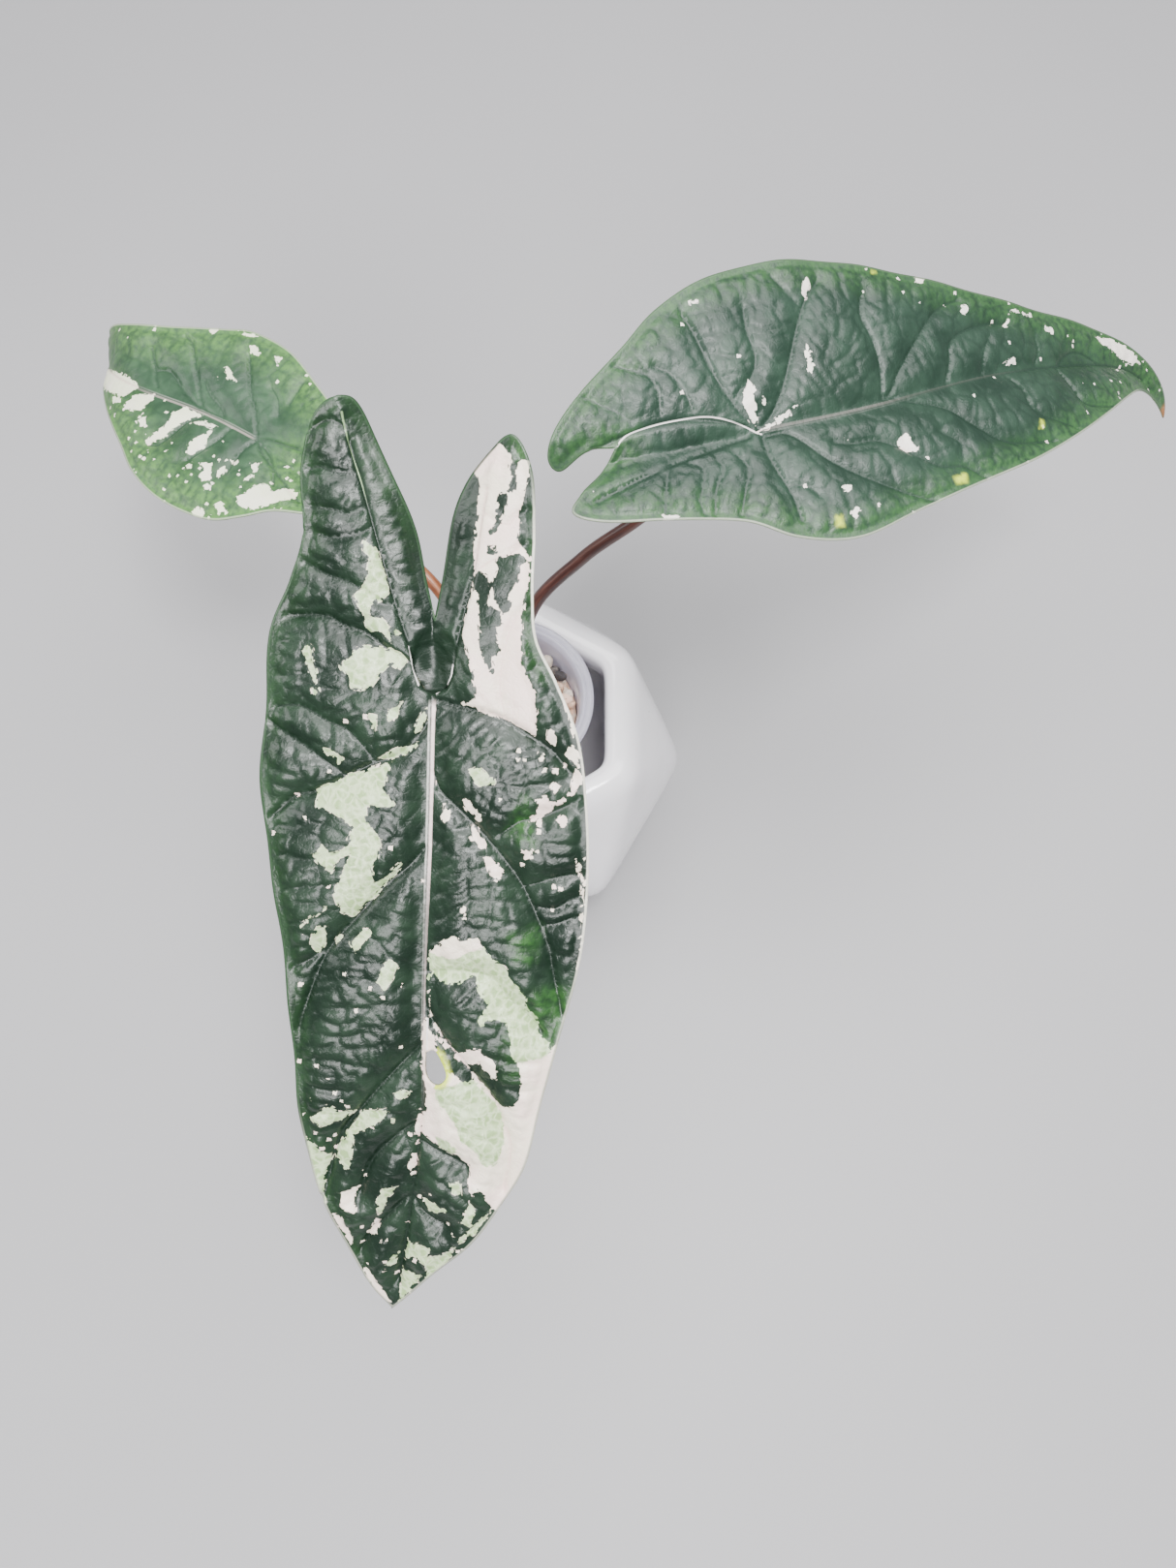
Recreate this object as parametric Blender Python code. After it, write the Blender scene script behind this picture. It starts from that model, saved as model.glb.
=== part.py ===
"""A variegated alocasia in a faceted white planter, with its clear inner cup and pumice.

Lengths are in millimetres, and meshes are scaled to metres as they are made. The origin
is the centre of the planter's underside, +Z is up, and the longest leaf hangs towards -Y.
"""
import math
import random

import bmesh
import bpy
import numpy as np
from mathutils import Vector
from mathutils.geometry import delaunay_2d_cdt

MM = 0.001
GAP = 0.3                     # clearance between pieces that rest on each other

# Planter: a hexagonal body of triangular facets, widest at its waist
RIM_Z = 104.0
WAIST_Z = 51.0
RIM_RADIUS = 53.5             # centre to the corners of the rim's outer crease
WAIST_RADIUS = 71.0
BASE_RADIUS = 51.0
MOUTH_RADIUS = 41.0           # centre to the corners of the mouth
WALL = 5.5
FLOOR = 7.0
EDGE_SHARPNESS = 34.0         # higher is a crisper edge between facets
MOUTH_SHARPNESS = 22.0
PLANTER_SEGMENTS = 48

# Clear inner cup, which stands on the planter's floor
CUP_AXIS = (-2.4, 5.2)
CUP_RIM_RADIUS = 33.9
CUP_BASE_RADIUS = 24.0
CUP_WALL = 1.0
CUP_FOOT_Z = FLOOR + GAP
CUP_TOP_Z = RIM_Z + 3.4
CUP_THROAT_RADIUS = 29.0      # outside of the wall just under the rolled rim
CUP_THROAT_Z = RIM_Z + 0.1
CUP_SEGMENTS = 32
DRAIN_RADIUS = 1.8
DRAIN_CIRCLE = 14.0
DRAINS = 5

# Pumice: each ring of loose grains is given by radius, count, turn and grain size
FILL_TOP_Z = 91.5
GRAIN_RINGS = ((13.9, 9, 0.2, 6.4), (20.6, 14, 0.0, 6.6), (25.6, 12, 0.4, 3.0))

# Corm and roots
CORM_RADIUS = 10.0
CORM_CENTRE_Z = 88.0
CORM_HALF_HEIGHT = 14.0
CROWN_Z = 99.5
ROOT_RADIUS = 1.3
ROOTS = 5
ROOT_REACH = 18.0
ROOT_END_Z = 24.0
CHANNEL_RUN_IN = 0.35         # share of a step by which a channel starts inside the corm's pocket
CHANNEL_RUN_OUT = 0.07        # and by which it runs on past the root's end

# Petioles
PETIOLE_BASE_RADIUS = 4.0
PETIOLE_MID_RADIUS = 2.6
PETIOLE_TIP_RADIUS = 1.9
PETIOLE_FOOT_CIRCLE = 5.0
PETIOLE_SIDES = 10
PETIOLE_RINGS = 22

# Blades
BLADE_THICKNESS = 1.2
RIB_DEPTH = 1.0               # how far the midrib and costae stand out underneath
BLADE_SPACING = 9.0           # of the points inside a blade's outline

WHITE = (0.86, 0.86, 0.87)
CLEAR = (0.88, 0.87, 0.93)
PUMICE = (0.72, 0.60, 0.50)
GRAIN_COLOURS = ((0.78, 0.66, 0.56), (0.74, 0.55, 0.46), (0.85, 0.80, 0.73), (0.20, 0.18, 0.17))
BROWN = (0.24, 0.14, 0.08)
ROOT_CREAM = (0.70, 0.64, 0.52)
MAROON = (0.13, 0.05, 0.035)
ORANGE_BROWN = (0.36, 0.14, 0.06)
DARK_GREEN = (0.02, 0.07, 0.03)
MID_GREEN = (0.07, 0.16, 0.08)
LIGHT_GREEN = (0.16, 0.30, 0.14)

# Each leaf's bend is given by stations along its spine: distance from the petiole's top,
# slope below the horizontal, heading and roll. A margin runs from the tip to the sinus or
# back, as (across, along) pairs. The trough is the channel between the two posterior costae.
FRONT_LEAF = {
    "name": "front_blade",
    "attach": (-10.0, -56.0, 254.0),
    "stations": ((-90, 32, -97, 0), (-20, 28, -97, 0), (0, 27, -97, 0), (80, 32, -95, 0),
                 (150, 38, -97, 0), (200, 46, -101, 0)),
    "turn": 0.0,
    "rise": 0.10,
    "droop": 0.0028,
    "trough": {"steep": 0.70, "spread": 0.27, "base": 2.0, "lean": 0.12},
    "right_margin": ((-1, 182), (8, 169), (19, 155), (27, 141), (33, 127), (36, 109), (39, 91),
                     (43, 70), (44, 48), (42, 26), (38, 7), (31, -7), (25, -17), (23, -29),
                     (22, -43), (20, -57), (15, -65), (10, -62), (4, -53), (0, -38), (-1, -19)),
    "left_margin": ((-1, -19), (-4, -25), (-8, -39), (-15, -52), (-23, -67), (-28, -70), (-34, -65),
                    (-37, -52), (-35, -37), (-38, -25), (-42, -12), (-42, 8), (-42, 28), (-38, 50),
                    (-34, 73), (-31, 100), (-29, 118), (-25, 136), (-17, 156), (-8, 172), (-1, 182)),
    "midrib": ((0, 0), (2, 38), (3, 84), (4, 112), (2, 146), (0, 170)),
    "costae": (((-3, -6), (-9, -18), (-16, -36), (-25, -60)), ((3, -5), (7, -30), (9, -52))),
    "hole": ((4, 96), (7, 95), (10.5, 101), (8, 104.5), (4.5, 103)),
    "colour": DARK_GREEN,
}
RIGHT_LEAF = {
    "name": "right_blade",
    "attach": (82.0, 50.0, 214.0),
    "stations": ((-90, -2, 18, 16), (-10, 4, 18, 16), (0, 6, 19, 16), (25, 9, 21, 16),
                 (55, 14, 27, 15), (90, 19, 29, 14), (120, 23, 27, 12), (150, 27, 24, 10),
                 (172, 34, 8, 8), (190, 46, -14, 4), (205, 64, -30, 0)),
    "turn": 0.0,
    "rise": 0.20,
    "droop": 0.0030,
    "trough": {"steep": 0.50, "spread": 0.08, "base": 3.2, "lean": -0.05},
    "right_margin": ((4, 207), (7, 190), (8, 172), (13, 147), (20, 120), (29, 95), (38, 72),
                     (45, 52), (50, 30), (51, 11), (49, -6), (43, -22), (34, -35), (24, -51),
                     (15, -62), (8, -66), (4, -63), (7, -54), (6, -45)),
    "left_margin": ((6, -45), (0, -51), (-6, -60), (-11, -64), (-16, -56), (-21, -36), (-27, -14),
                    (-36, 1), (-41, 20), (-38, 42), (-36, 65), (-34, 95), (-28, 126), (-17, 160),
                    (-3, 189), (1, 202), (4, 207)),
    "midrib": ((0, 0), (-1, 40), (-1, 82), (-2, 120), (-2, 155), (0, 180)),
    "costae": (((3, -5), (9, -25), (7, -48)), ((-1, -9), (-4, -32), (-9, -52))),
    "hole": (),
    "colour": MID_GREEN,
}
LEFT_LEAF = {
    "name": "left_blade",
    "attach": (-90.0, 82.0, 164.0),
    "stations": ((-90, 2, 180, -4), (0, 4, 180, -4), (28, 8, 182, -4), (46, 18, 183, -4),
                 (62, 42, 183, -2), (76, 74, 183, 0), (94, 92, 183, 0), (160, 100, 183, 0)),
    "turn": 40.0,
    "rise": 0.14,
    "droop": 0.0030,
    "trough": {"steep": 0.45, "spread": 0.20, "base": 2.0, "lean": 0.0},
    "right_margin": ((5, 120), (7, 106), (11, 90), (17, 74), (24, 57), (30, 44), (36, 32), (39, 18),
                     (38, 4), (34, -9), (26, -18), (18, -25), (12, -34), (7, -42), (3, -38), (0, -20)),
    "left_margin": ((0, -20), (-5, -36), (-12, -44), (-19, -36), (-25, -18), (-29, -4), (-33, 14),
                    (-31, 30), (-26, 39), (-21, 48), (-15, 60), (-11, 73), (-8, 88), (-3, 104),
                    (5, 120)),
    "midrib": ((0, 0), (3, 20), (8, 45), (9, 64), (7, 88), (5, 106)),
    "costae": (((3, -6), (9, -28)), ((-3, -6), (-11, -32))),
    "hole": (),
    "colour": LIGHT_GREEN,
}
LEAVES = (FRONT_LEAF, RIGHT_LEAF, LEFT_LEAF)

# Petiole routes between the crown and the blade, as points passed on the way
PETIOLES = (
    {"name": "front_petiole", "leaf": FRONT_LEAF, "foot_angle": -90.0, "colour": MAROON,
     "route": ((-3.5, -8.0, 135.0), (-5.0, -23.0, 185.0), (-7.5, -43.0, 230.0))},
    {"name": "right_petiole", "leaf": RIGHT_LEAF, "foot_angle": 30.0, "colour": MAROON,
     "route": ((8.4, 25.0, 140.0), (27.0, 34.0, 163.0), (45.0, 38.0, 181.0), (68.0, 45.0, 202.0))},
    {"name": "left_petiole", "leaf": LEFT_LEAF, "foot_angle": 150.0, "colour": ORANGE_BROWN,
     "route": ((-13.0, 18.0, 118.0), (-28.5, 39.0, 136.0), (-58.0, 61.0, 147.5),
               (-80.0, 75.5, 155.5))},
)


def clear_scene():
    """Removes whatever the file holds at the start."""
    for item in list(bpy.data.objects):
        bpy.data.objects.remove(item, do_unlink=True)


def make_material(name, colour, roughness, alpha=1.0):
    """A plain Principled material, shared by every piece that asks for the same name."""
    found = bpy.data.materials.get(name)
    if found:
        return found
    material = bpy.data.materials.new(name)
    material.use_nodes = True
    shader = material.node_tree.nodes["Principled BSDF"]
    shader.inputs["Base Color"].default_value = (*colour, 1.0)
    shader.inputs["Roughness"].default_value = roughness
    shader.inputs["Metallic"].default_value = 0.0
    shader.inputs["Alpha"].default_value = alpha
    return material


def add_piece(name, points, faces, material, smooth_angle=40.0):
    """Makes a named mesh object from points in millimetres."""
    mesh = bpy.data.meshes.new(name)
    mesh.from_pydata([Vector(point) * MM for point in points], [], faces)
    mesh.validate()
    tidy = bmesh.new()
    tidy.from_mesh(mesh)
    bmesh.ops.recalc_face_normals(tidy, faces=tidy.faces)
    tidy.to_mesh(mesh)
    tidy.free()
    mesh.shade_smooth()
    mesh.set_sharp_from_angle(angle=math.radians(smooth_angle))
    mesh.materials.append(material)
    piece = bpy.data.objects.new(name, mesh)
    bpy.context.scene.collection.objects.link(piece)
    return piece


def loft(rings):
    """Points and faces of a closed solid through equal rings, capped by its first and last."""
    count = len(rings[0])
    points = [point for ring in rings for point in ring]
    faces = []
    for row in range(len(rings) - 1):
        for i in range(count):
            j = (i + 1) % count
            low, high = row * count, (row + 1) * count
            faces.append((low + i, low + j, high + j, high + i))
    for ring_start, ring in ((0, rings[0]), ((len(rings) - 1) * count, rings[-1])):
        centre = np.mean(np.array(ring), axis=0)
        hub = len(points)
        points.append(tuple(centre))
        faces.extend((ring_start + i, ring_start + (i + 1) % count, hub) for i in range(count))
    return points, faces


def turned(profile, segments, axis=(0.0, 0.0)):
    """A solid of revolution from (radius, height) pairs, open ends closed by flat caps."""
    rings = []
    for radius, height in profile:
        rings.append([(axis[0] + radius * math.cos(2 * math.pi * k / segments),
                       axis[1] + radius * math.sin(2 * math.pi * k / segments), height)
                      for k in range(segments)])
    return loft(rings)


def smooth_curve(points, samples):
    """Evenly spaced samples on a Catmull-Rom curve through the given points."""
    knots = np.array(points, dtype=float)
    ends = np.vstack([2 * knots[0] - knots[1], knots, 2 * knots[-1] - knots[-2]])
    dense = []
    for k in range(len(knots) - 1):
        a, b, c, d = ends[k:k + 4]
        for t in np.linspace(0.0, 1.0, 24, endpoint=False):
            dense.append(0.5 * (2 * b + (c - a) * t + (2 * a - 5 * b + 4 * c - d) * t ** 2
                                + (3 * b - 3 * c + d - a) * t ** 3))
    dense.append(knots[-1])
    dense = np.array(dense)
    run = np.concatenate([[0.0], np.cumsum(np.linalg.norm(np.diff(dense, axis=0), axis=1))])
    wanted = np.linspace(0.0, run[-1], samples)
    return np.stack([np.interp(wanted, run, dense[:, i]) for i in range(dense.shape[1])], axis=1)


def tube(points, radii, sides):
    """A closed tube round a path, with one radius for each of its points."""
    points = np.array(points, dtype=float)
    tangents = np.gradient(points, axis=0)
    tangents /= np.linalg.norm(tangents, axis=1)[:, None]
    across = np.cross(tangents[0], (0.31, 0.90, 0.29))
    rings = []
    for point, tangent, radius in zip(points, tangents, radii):
        across = across - tangent * np.dot(across, tangent)
        across /= np.linalg.norm(across)
        other = np.cross(tangent, across)
        rings.append([tuple(point + radius * (math.cos(a) * across + math.sin(a) * other))
                      for a in np.arange(sides) * 2 * math.pi / sides])
    return loft(rings)


def rounded_end(points, radii, steps=3):
    """Lengthens a tapering path by a half-round nose at its last point."""
    points = [np.array(point, dtype=float) for point in points]
    heading = points[-1] - points[-2]
    heading /= np.linalg.norm(heading)
    centre, radius = points[-1], radii[-1]
    for step in range(1, steps + 1):
        angle = math.pi / 2 * step / (steps + 0.35)
        points.append(centre + heading * radius * math.sin(angle))
        radii = list(radii) + [radius * math.cos(angle)]
    return points, radii


# Planter
def polar(radius, degrees, height):
    """A point from its distance to the axis, its bearing and its height."""
    return np.array((radius * math.cos(math.radians(degrees)),
                     radius * math.sin(math.radians(degrees)), height))


def facet_planes():
    """Unit normal and offset of each triangular facet, above and below the waist."""
    planes = []
    for end_radius, end_z in ((RIM_RADIUS, RIM_Z), (BASE_RADIUS, 0.0)):
        for k in range(6):
            waist = polar(WAIST_RADIUS, 60 * k, WAIST_Z)
            next_waist = polar(WAIST_RADIUS, 60 * (k + 1), WAIST_Z)
            before = polar(end_radius, 60 * k - 30, end_z)
            after = polar(end_radius, 60 * k + 30, end_z)
            for a, b, c in ((before, after, waist), (waist, next_waist, after)):
                normal = np.cross(b - a, c - a)
                normal /= np.linalg.norm(normal)
                offset = float(np.dot(normal, a))
                planes.append((normal, offset) if offset > 0 else (-normal, -offset))
    return planes


PLANES = facet_planes()


def outer_radius(angle, height):
    """Distance from the axis to the faceted wall, with its edges rounded off."""
    total = 0.0
    for normal, offset in PLANES:
        facing = normal[0] * math.cos(angle) + normal[1] * math.sin(angle)
        if facing > 0.05:
            total += ((offset - normal[2] * height) / facing) ** -EDGE_SHARPNESS
    return total ** (-1.0 / EDGE_SHARPNESS)


def mouth_radius(angle):
    """Distance from the axis to the edge of the hexagonal mouth, with round corners."""
    flat = MOUTH_RADIUS * math.cos(math.radians(30))
    total = 0.0
    for k in range(6):
        facing = math.cos(angle - math.radians(60 * k))
        if facing > 0.05:
            total += (flat / facing) ** -MOUTH_SHARPNESS
    return total ** (-1.0 / MOUTH_SHARPNESS)


def inner_radius(angle, height):
    """The inside wall: the mouth at the top, widening to follow the outside below."""
    hollow = outer_radius(angle, height) - WALL
    share = min(max((RIM_Z - 8.0 - height) / 24.0, 0.0), 1.0)
    share = share * share * (3 - 2 * share)
    return mouth_radius(angle) * (1 - share) + hollow * share


def make_planter(material):
    """The planter: underside, faceted wall, rounded lip and hollow, as one skin."""
    outside = ((0.0, 7.0), (0.7, 4.0), (2.2, 1.6), (5.0, 0.0), (14.0, 0.0), (24.0, 0.0), (34.0, 0.0),
               (42.0, 0.0), (48.0, 0.0), (54.0, 0.0), (60.0, 0.0), (70.0, 0.0), (82.0, 0.0),
               (92.0, 0.0), (98.0, 0.3), (101.3, 1.4), (103.3, 3.4), (RIM_Z, 6.2))
    lip = ((RIM_Z, 3.6), (103.2, 1.4), (101.2, 0.3), (98.5, 0.0))
    inside = (94.0, 86.0, 76.0, 64.0, 51.0, 36.0, 22.0, 13.0)
    bottom = ((9.0, 0.93), (FLOOR, 0.82))
    angles = [2 * math.pi * k / PLANTER_SEGMENTS for k in range(PLANTER_SEGMENTS)]

    def ring(radius_at, height):
        return [(radius_at(a) * math.cos(a), radius_at(a) * math.sin(a), height) for a in angles]

    rings = [ring(lambda a: outer_radius(a, z) - inset, z) for z, inset in outside]
    rings += [ring(lambda a: mouth_radius(a) + inset, z) for z, inset in lip]
    rings += [ring(lambda a: inner_radius(a, z), z) for z in inside]
    rings += [ring(lambda a: inner_radius(a, z) * share, z) for z, share in bottom]
    return add_piece("outer_planter", *loft(rings), material, smooth_angle=50.0)


# Inner cup
def cup_wall_radius(height):
    """Inside radius of the cup's tapering wall."""
    share = (height - CUP_FOOT_Z) / (CUP_THROAT_Z - CUP_FOOT_Z)
    return CUP_BASE_RADIUS + (CUP_THROAT_RADIUS - CUP_BASE_RADIUS) * share - CUP_WALL


def make_cup(material):
    """The clear cup: foot, tapering wall and rolled rim, with drain holes in its floor."""
    top, rim = CUP_TOP_Z, CUP_RIM_RADIUS
    profile = ((CUP_BASE_RADIUS - 1.5, CUP_FOOT_Z), (CUP_BASE_RADIUS, CUP_FOOT_Z + 1.2),
               (CUP_THROAT_RADIUS, CUP_THROAT_Z), (CUP_THROAT_RADIUS + 0.8, top - 3.0),
               (rim - 1.0, top - 3.1), (rim - 0.1, top - 2.2), (rim - 0.2, top - 0.8), (rim - 1.2, top),
               (rim - 2.8, top - 0.1), (rim - 4.2, top - 0.8), (rim - 5.2, top - 2.2),
               (cup_wall_radius(top - 6.0), top - 6.0),
               (cup_wall_radius(CUP_FOOT_Z + 2.6), CUP_FOOT_Z + 2.6),
               (CUP_BASE_RADIUS - 3.2, CUP_FOOT_Z + CUP_WALL))
    cup = add_piece("inner_cup", *turned(profile, CUP_SEGMENTS, CUP_AXIS), material)
    for k in range(DRAINS):
        bearing = 2 * math.pi * (k + 0.5) / DRAINS
        place = (CUP_AXIS[0] + DRAIN_CIRCLE * math.cos(bearing),
                 CUP_AXIS[1] + DRAIN_CIRCLE * math.sin(bearing))
        drill = turned(((DRAIN_RADIUS, CUP_FOOT_Z - 3), (DRAIN_RADIUS, CUP_FOOT_Z + 4)), 8, place)
        cut_away(cup, add_guide("drain_cutter_%d" % (k + 1), *drill))
    return cup


def add_guide(name, points, faces):
    """A cutter, which isn't a piece of the plant."""
    guide = add_piece(name, points, faces, make_material("guide", (0.5, 0.5, 0.5), 0.5))
    guide.hide_render = True
    guide.display_type = "WIRE"
    return guide


def cut_away(piece, cutter):
    """Subtracts a cutter from a piece."""
    cut = piece.modifiers.new("cut_" + cutter.name, "BOOLEAN")
    cut.operation = "DIFFERENCE"
    cut.object = cutter


# Pumice, corm and roots
def corm_profile(extra):
    """The corm's outline: an egg with a flat crown, swollen by some clearance."""
    profile = []
    for degrees in range(-80, 60, 20):
        angle = math.radians(degrees)
        profile.append((CORM_RADIUS * math.cos(angle) + extra * math.cos(angle),
                        CORM_CENTRE_Z + CORM_HALF_HEIGHT * math.sin(angle) + extra * math.sin(angle)))
    profile.append((CORM_RADIUS * 0.86 + extra, CROWN_Z - 1.2))
    profile.append((CORM_RADIUS * 0.80 + extra, CROWN_Z))
    return profile


def root_path(index):
    """A root's route: out of the corm's side, then down close to the cup's wall."""
    bearing = 2 * math.pi * (index + 0.3) / ROOTS
    stops = ((CORM_RADIUS - 0.3, 81.5), (13.0, 79.0), (ROOT_REACH - 1.0, 68.0),
             (ROOT_REACH, 44.0), (ROOT_REACH - 1.0, ROOT_END_Z))
    route = []
    for step, (radius, height) in enumerate(stops):
        swing = bearing + 0.16 * step
        route.append((CUP_AXIS[0] + radius * math.cos(swing),
                      CUP_AXIS[1] + radius * math.sin(swing), height))
    return smooth_curve(route, 12)


def make_fill(material):
    """The packed pumice under the loose top grains, with pockets for the corm and roots."""
    foot = CUP_FOOT_Z + CUP_WALL + GAP
    profile = ((CUP_BASE_RADIUS - 3.8, foot), (cup_wall_radius(foot + 2.0) - GAP - 0.3, foot + 2.0),
               (cup_wall_radius(FILL_TOP_Z - 1.5) - GAP, FILL_TOP_Z - 1.5),
               (cup_wall_radius(FILL_TOP_Z) - GAP - 1.5, FILL_TOP_Z))
    fill = add_piece("pumice_fill", *turned(profile, CUP_SEGMENTS, CUP_AXIS), material)
    pocket = turned(corm_profile(GAP), 20, CUP_AXIS)
    cut_away(fill, add_guide("corm_pocket", *pocket))
    for index in range(ROOTS):
        path = root_path(index)
        path[0] += (path[0] - path[1]) * CHANNEL_RUN_IN
        path[-1] += (path[-1] - path[-2]) * CHANNEL_RUN_OUT
        channel = tube(path, [ROOT_RADIUS + GAP + 0.1] * len(path), 8)
        cut_away(fill, add_guide("root_channel_%d" % (index + 1), *channel))
    return fill


def make_corm(material):
    """The corm, whose flat crown carries the petioles."""
    return add_piece("corm", *turned(corm_profile(0.0), 20, CUP_AXIS), material)


def make_roots(material):
    """The thick roots, each in its channel through the pumice."""
    for index in range(ROOTS):
        path = root_path(index)
        radii = [ROOT_RADIUS * (1.0 - 0.35 * k / (len(path) - 1)) for k in range(len(path))]
        radii[0] *= 0.75
        add_piece("root_%d" % (index + 1), *tube(path, radii, 8), material)


def rock(rng, size):
    """An angular pebble: a small sphere of faces squeezed and dented at random."""
    shape = bmesh.new()
    bmesh.ops.create_icosphere(shape, subdivisions=2, radius=size / 2)
    squeeze = Vector((rng.uniform(0.82, 1.05), rng.uniform(0.72, 0.95), rng.uniform(0.66, 0.86)))
    cuts = []
    for _ in range(7):
        way = Vector((rng.uniform(-1, 1), rng.uniform(-1, 1), rng.uniform(-1, 1))).normalized()
        cuts.append((way, rng.uniform(0.74, 0.92) * size / 2))
    for vert in shape.verts:
        for way, depth in cuts:
            over = vert.co.dot(way) - depth
            if over > 0:
                vert.co -= way * over
        vert.co = Vector((vert.co.x * squeeze.x, vert.co.y * squeeze.y, vert.co.z * squeeze.z))
    points = [tuple(vert.co) for vert in shape.verts]
    faces = [tuple(vert.index for vert in face.verts) for face in shape.faces]
    shape.free()
    return np.array(points), faces


def make_grains():
    """The loose grains that show at the top, in rings round the crown, each on the fill."""
    rng = random.Random(41)
    number = 0
    for radius, count, turn, size in GRAIN_RINGS:
        for k in range(count):
            number += 1
            points, faces = rock(rng, size * rng.uniform(0.84, 0.98))
            spin = rng.uniform(0, 2 * math.pi)
            turned_points = points @ np.array(((math.cos(spin), -math.sin(spin), 0),
                                               (math.sin(spin), math.cos(spin), 0), (0, 0, 1)))
            bearing = 2 * math.pi * (k + turn) / count
            place = np.array((CUP_AXIS[0] + radius * math.cos(bearing),
                              CUP_AXIS[1] + radius * math.sin(bearing),
                              FILL_TOP_Z + GAP - points[:, 2].min()))
            shade = rng.choices(range(len(GRAIN_COLOURS)), weights=(5, 3, 3, 1))[0]
            stone = make_material("pumice_%d" % (shade + 1), GRAIN_COLOURS[shade], 0.9)
            add_piece("grain_%02d" % number, turned_points + place, faces, stone, 25.0)


# Leaves
def leaf_frame(leaf):
    """Points, across vectors and normals along a leaf's spine, at half-millimetre steps."""
    stations = np.array(leaf["stations"], dtype=float)
    step = 0.5
    along = np.arange(-90.0, 220.0 + step, step)
    kernel = np.ones(41) / 41

    def eased(column):
        values = np.radians(np.interp(along, stations[:, 0], stations[:, column]))
        return np.convolve(np.pad(values, 20, mode="edge"), kernel, mode="valid")

    slope, heading, roll = eased(1), eased(2), eased(3)
    flat = np.cos(slope)
    tangent = np.stack([flat * np.cos(heading), flat * np.sin(heading), -np.sin(slope)], axis=1)
    level = np.stack([-np.sin(heading), np.cos(heading), 0 * heading], axis=1)
    upward = np.cross(tangent, level)
    across = level * np.cos(roll)[:, None] + upward * np.sin(roll)[:, None]
    normal = np.cross(tangent, across)
    spine = np.vstack([np.zeros(3), np.cumsum((tangent[1:] + tangent[:-1]) / 2 * step, axis=0)])
    start = int(np.argmin(np.abs(along)))
    spine = spine - spine[start] + np.array(leaf["attach"])
    return along, spine, across, normal


def leaf_height(leaf, u, v):
    """How far the blade lies above its spine plane: a gull-wing section and the trough."""
    trough = leaf["trough"]
    height = leaf["rise"] * np.abs(u) - leaf["droop"] * u * u
    behind = np.maximum(-v, 0.0)
    half_width = trough["spread"] * behind + trough["base"] * np.minimum(behind / 6.0, 1.0)
    inside = np.maximum(half_width - np.abs(u - trough["lean"] * v), 0.0)
    return height - trough["steep"] * inside


def leaf_points(leaf, frame, u, v):
    """World points of the blade's middle surface for leaf coordinates u across, v along."""
    along, spine, across, normal = frame
    turn = math.radians(leaf["turn"])
    side = math.cos(turn) * u - math.sin(turn) * v
    ahead = math.sin(turn) * u + math.cos(turn) * v

    def at(table):
        return np.stack([np.interp(ahead, along, table[:, i]) for i in range(3)], axis=-1)

    return at(spine) + at(across) * side[:, None] + at(normal) * leaf_height(leaf, u, v)[:, None]


def leaf_normals(leaf, frame, u, v):
    """Unit normals of the middle surface, from its slopes either side of each point."""
    reach = 1.2
    by_u = leaf_points(leaf, frame, u + reach, v) - leaf_points(leaf, frame, u - reach, v)
    by_v = leaf_points(leaf, frame, u, v + reach) - leaf_points(leaf, frame, u, v - reach)
    normal = np.cross(by_v, by_u)
    return normal / np.linalg.norm(normal, axis=1)[:, None]


def inside_loop(loop, u, v):
    """True where a point lies inside a closed loop of (u, v) corners."""
    result = np.zeros(len(u), dtype=bool)
    for (u0, v0), (u1, v1) in zip(loop, np.roll(loop, -1, axis=0)):
        crosses = (v0 > v) != (v1 > v)
        if v1 != v0:
            result ^= crosses & (u < (u1 - u0) * (v - v0) / (v1 - v0) + u0)
    return result


def distance_to_path(path, u, v):
    """Shortest distance from each point to a chain of (u, v) corners."""
    best = np.full(len(u), 1e9)
    for (u0, v0), (u1, v1) in zip(path[:-1], path[1:]):
        du, dv = u1 - u0, v1 - v0
        share = np.clip(((u - u0) * du + (v - v0) * dv) / (du * du + dv * dv), 0.0, 1.0)
        best = np.minimum(best, np.hypot(u - u0 - share * du, v - v0 - share * dv))
    return best


def leaf_outline(leaf):
    """The closed outline as one loop, smooth along each margin and sharp at tip and sinus."""
    right = smooth_curve(leaf["right_margin"], 36)
    left = smooth_curve(leaf["left_margin"], 36)
    return np.vstack([right[:-1], left[:-1]])


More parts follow.
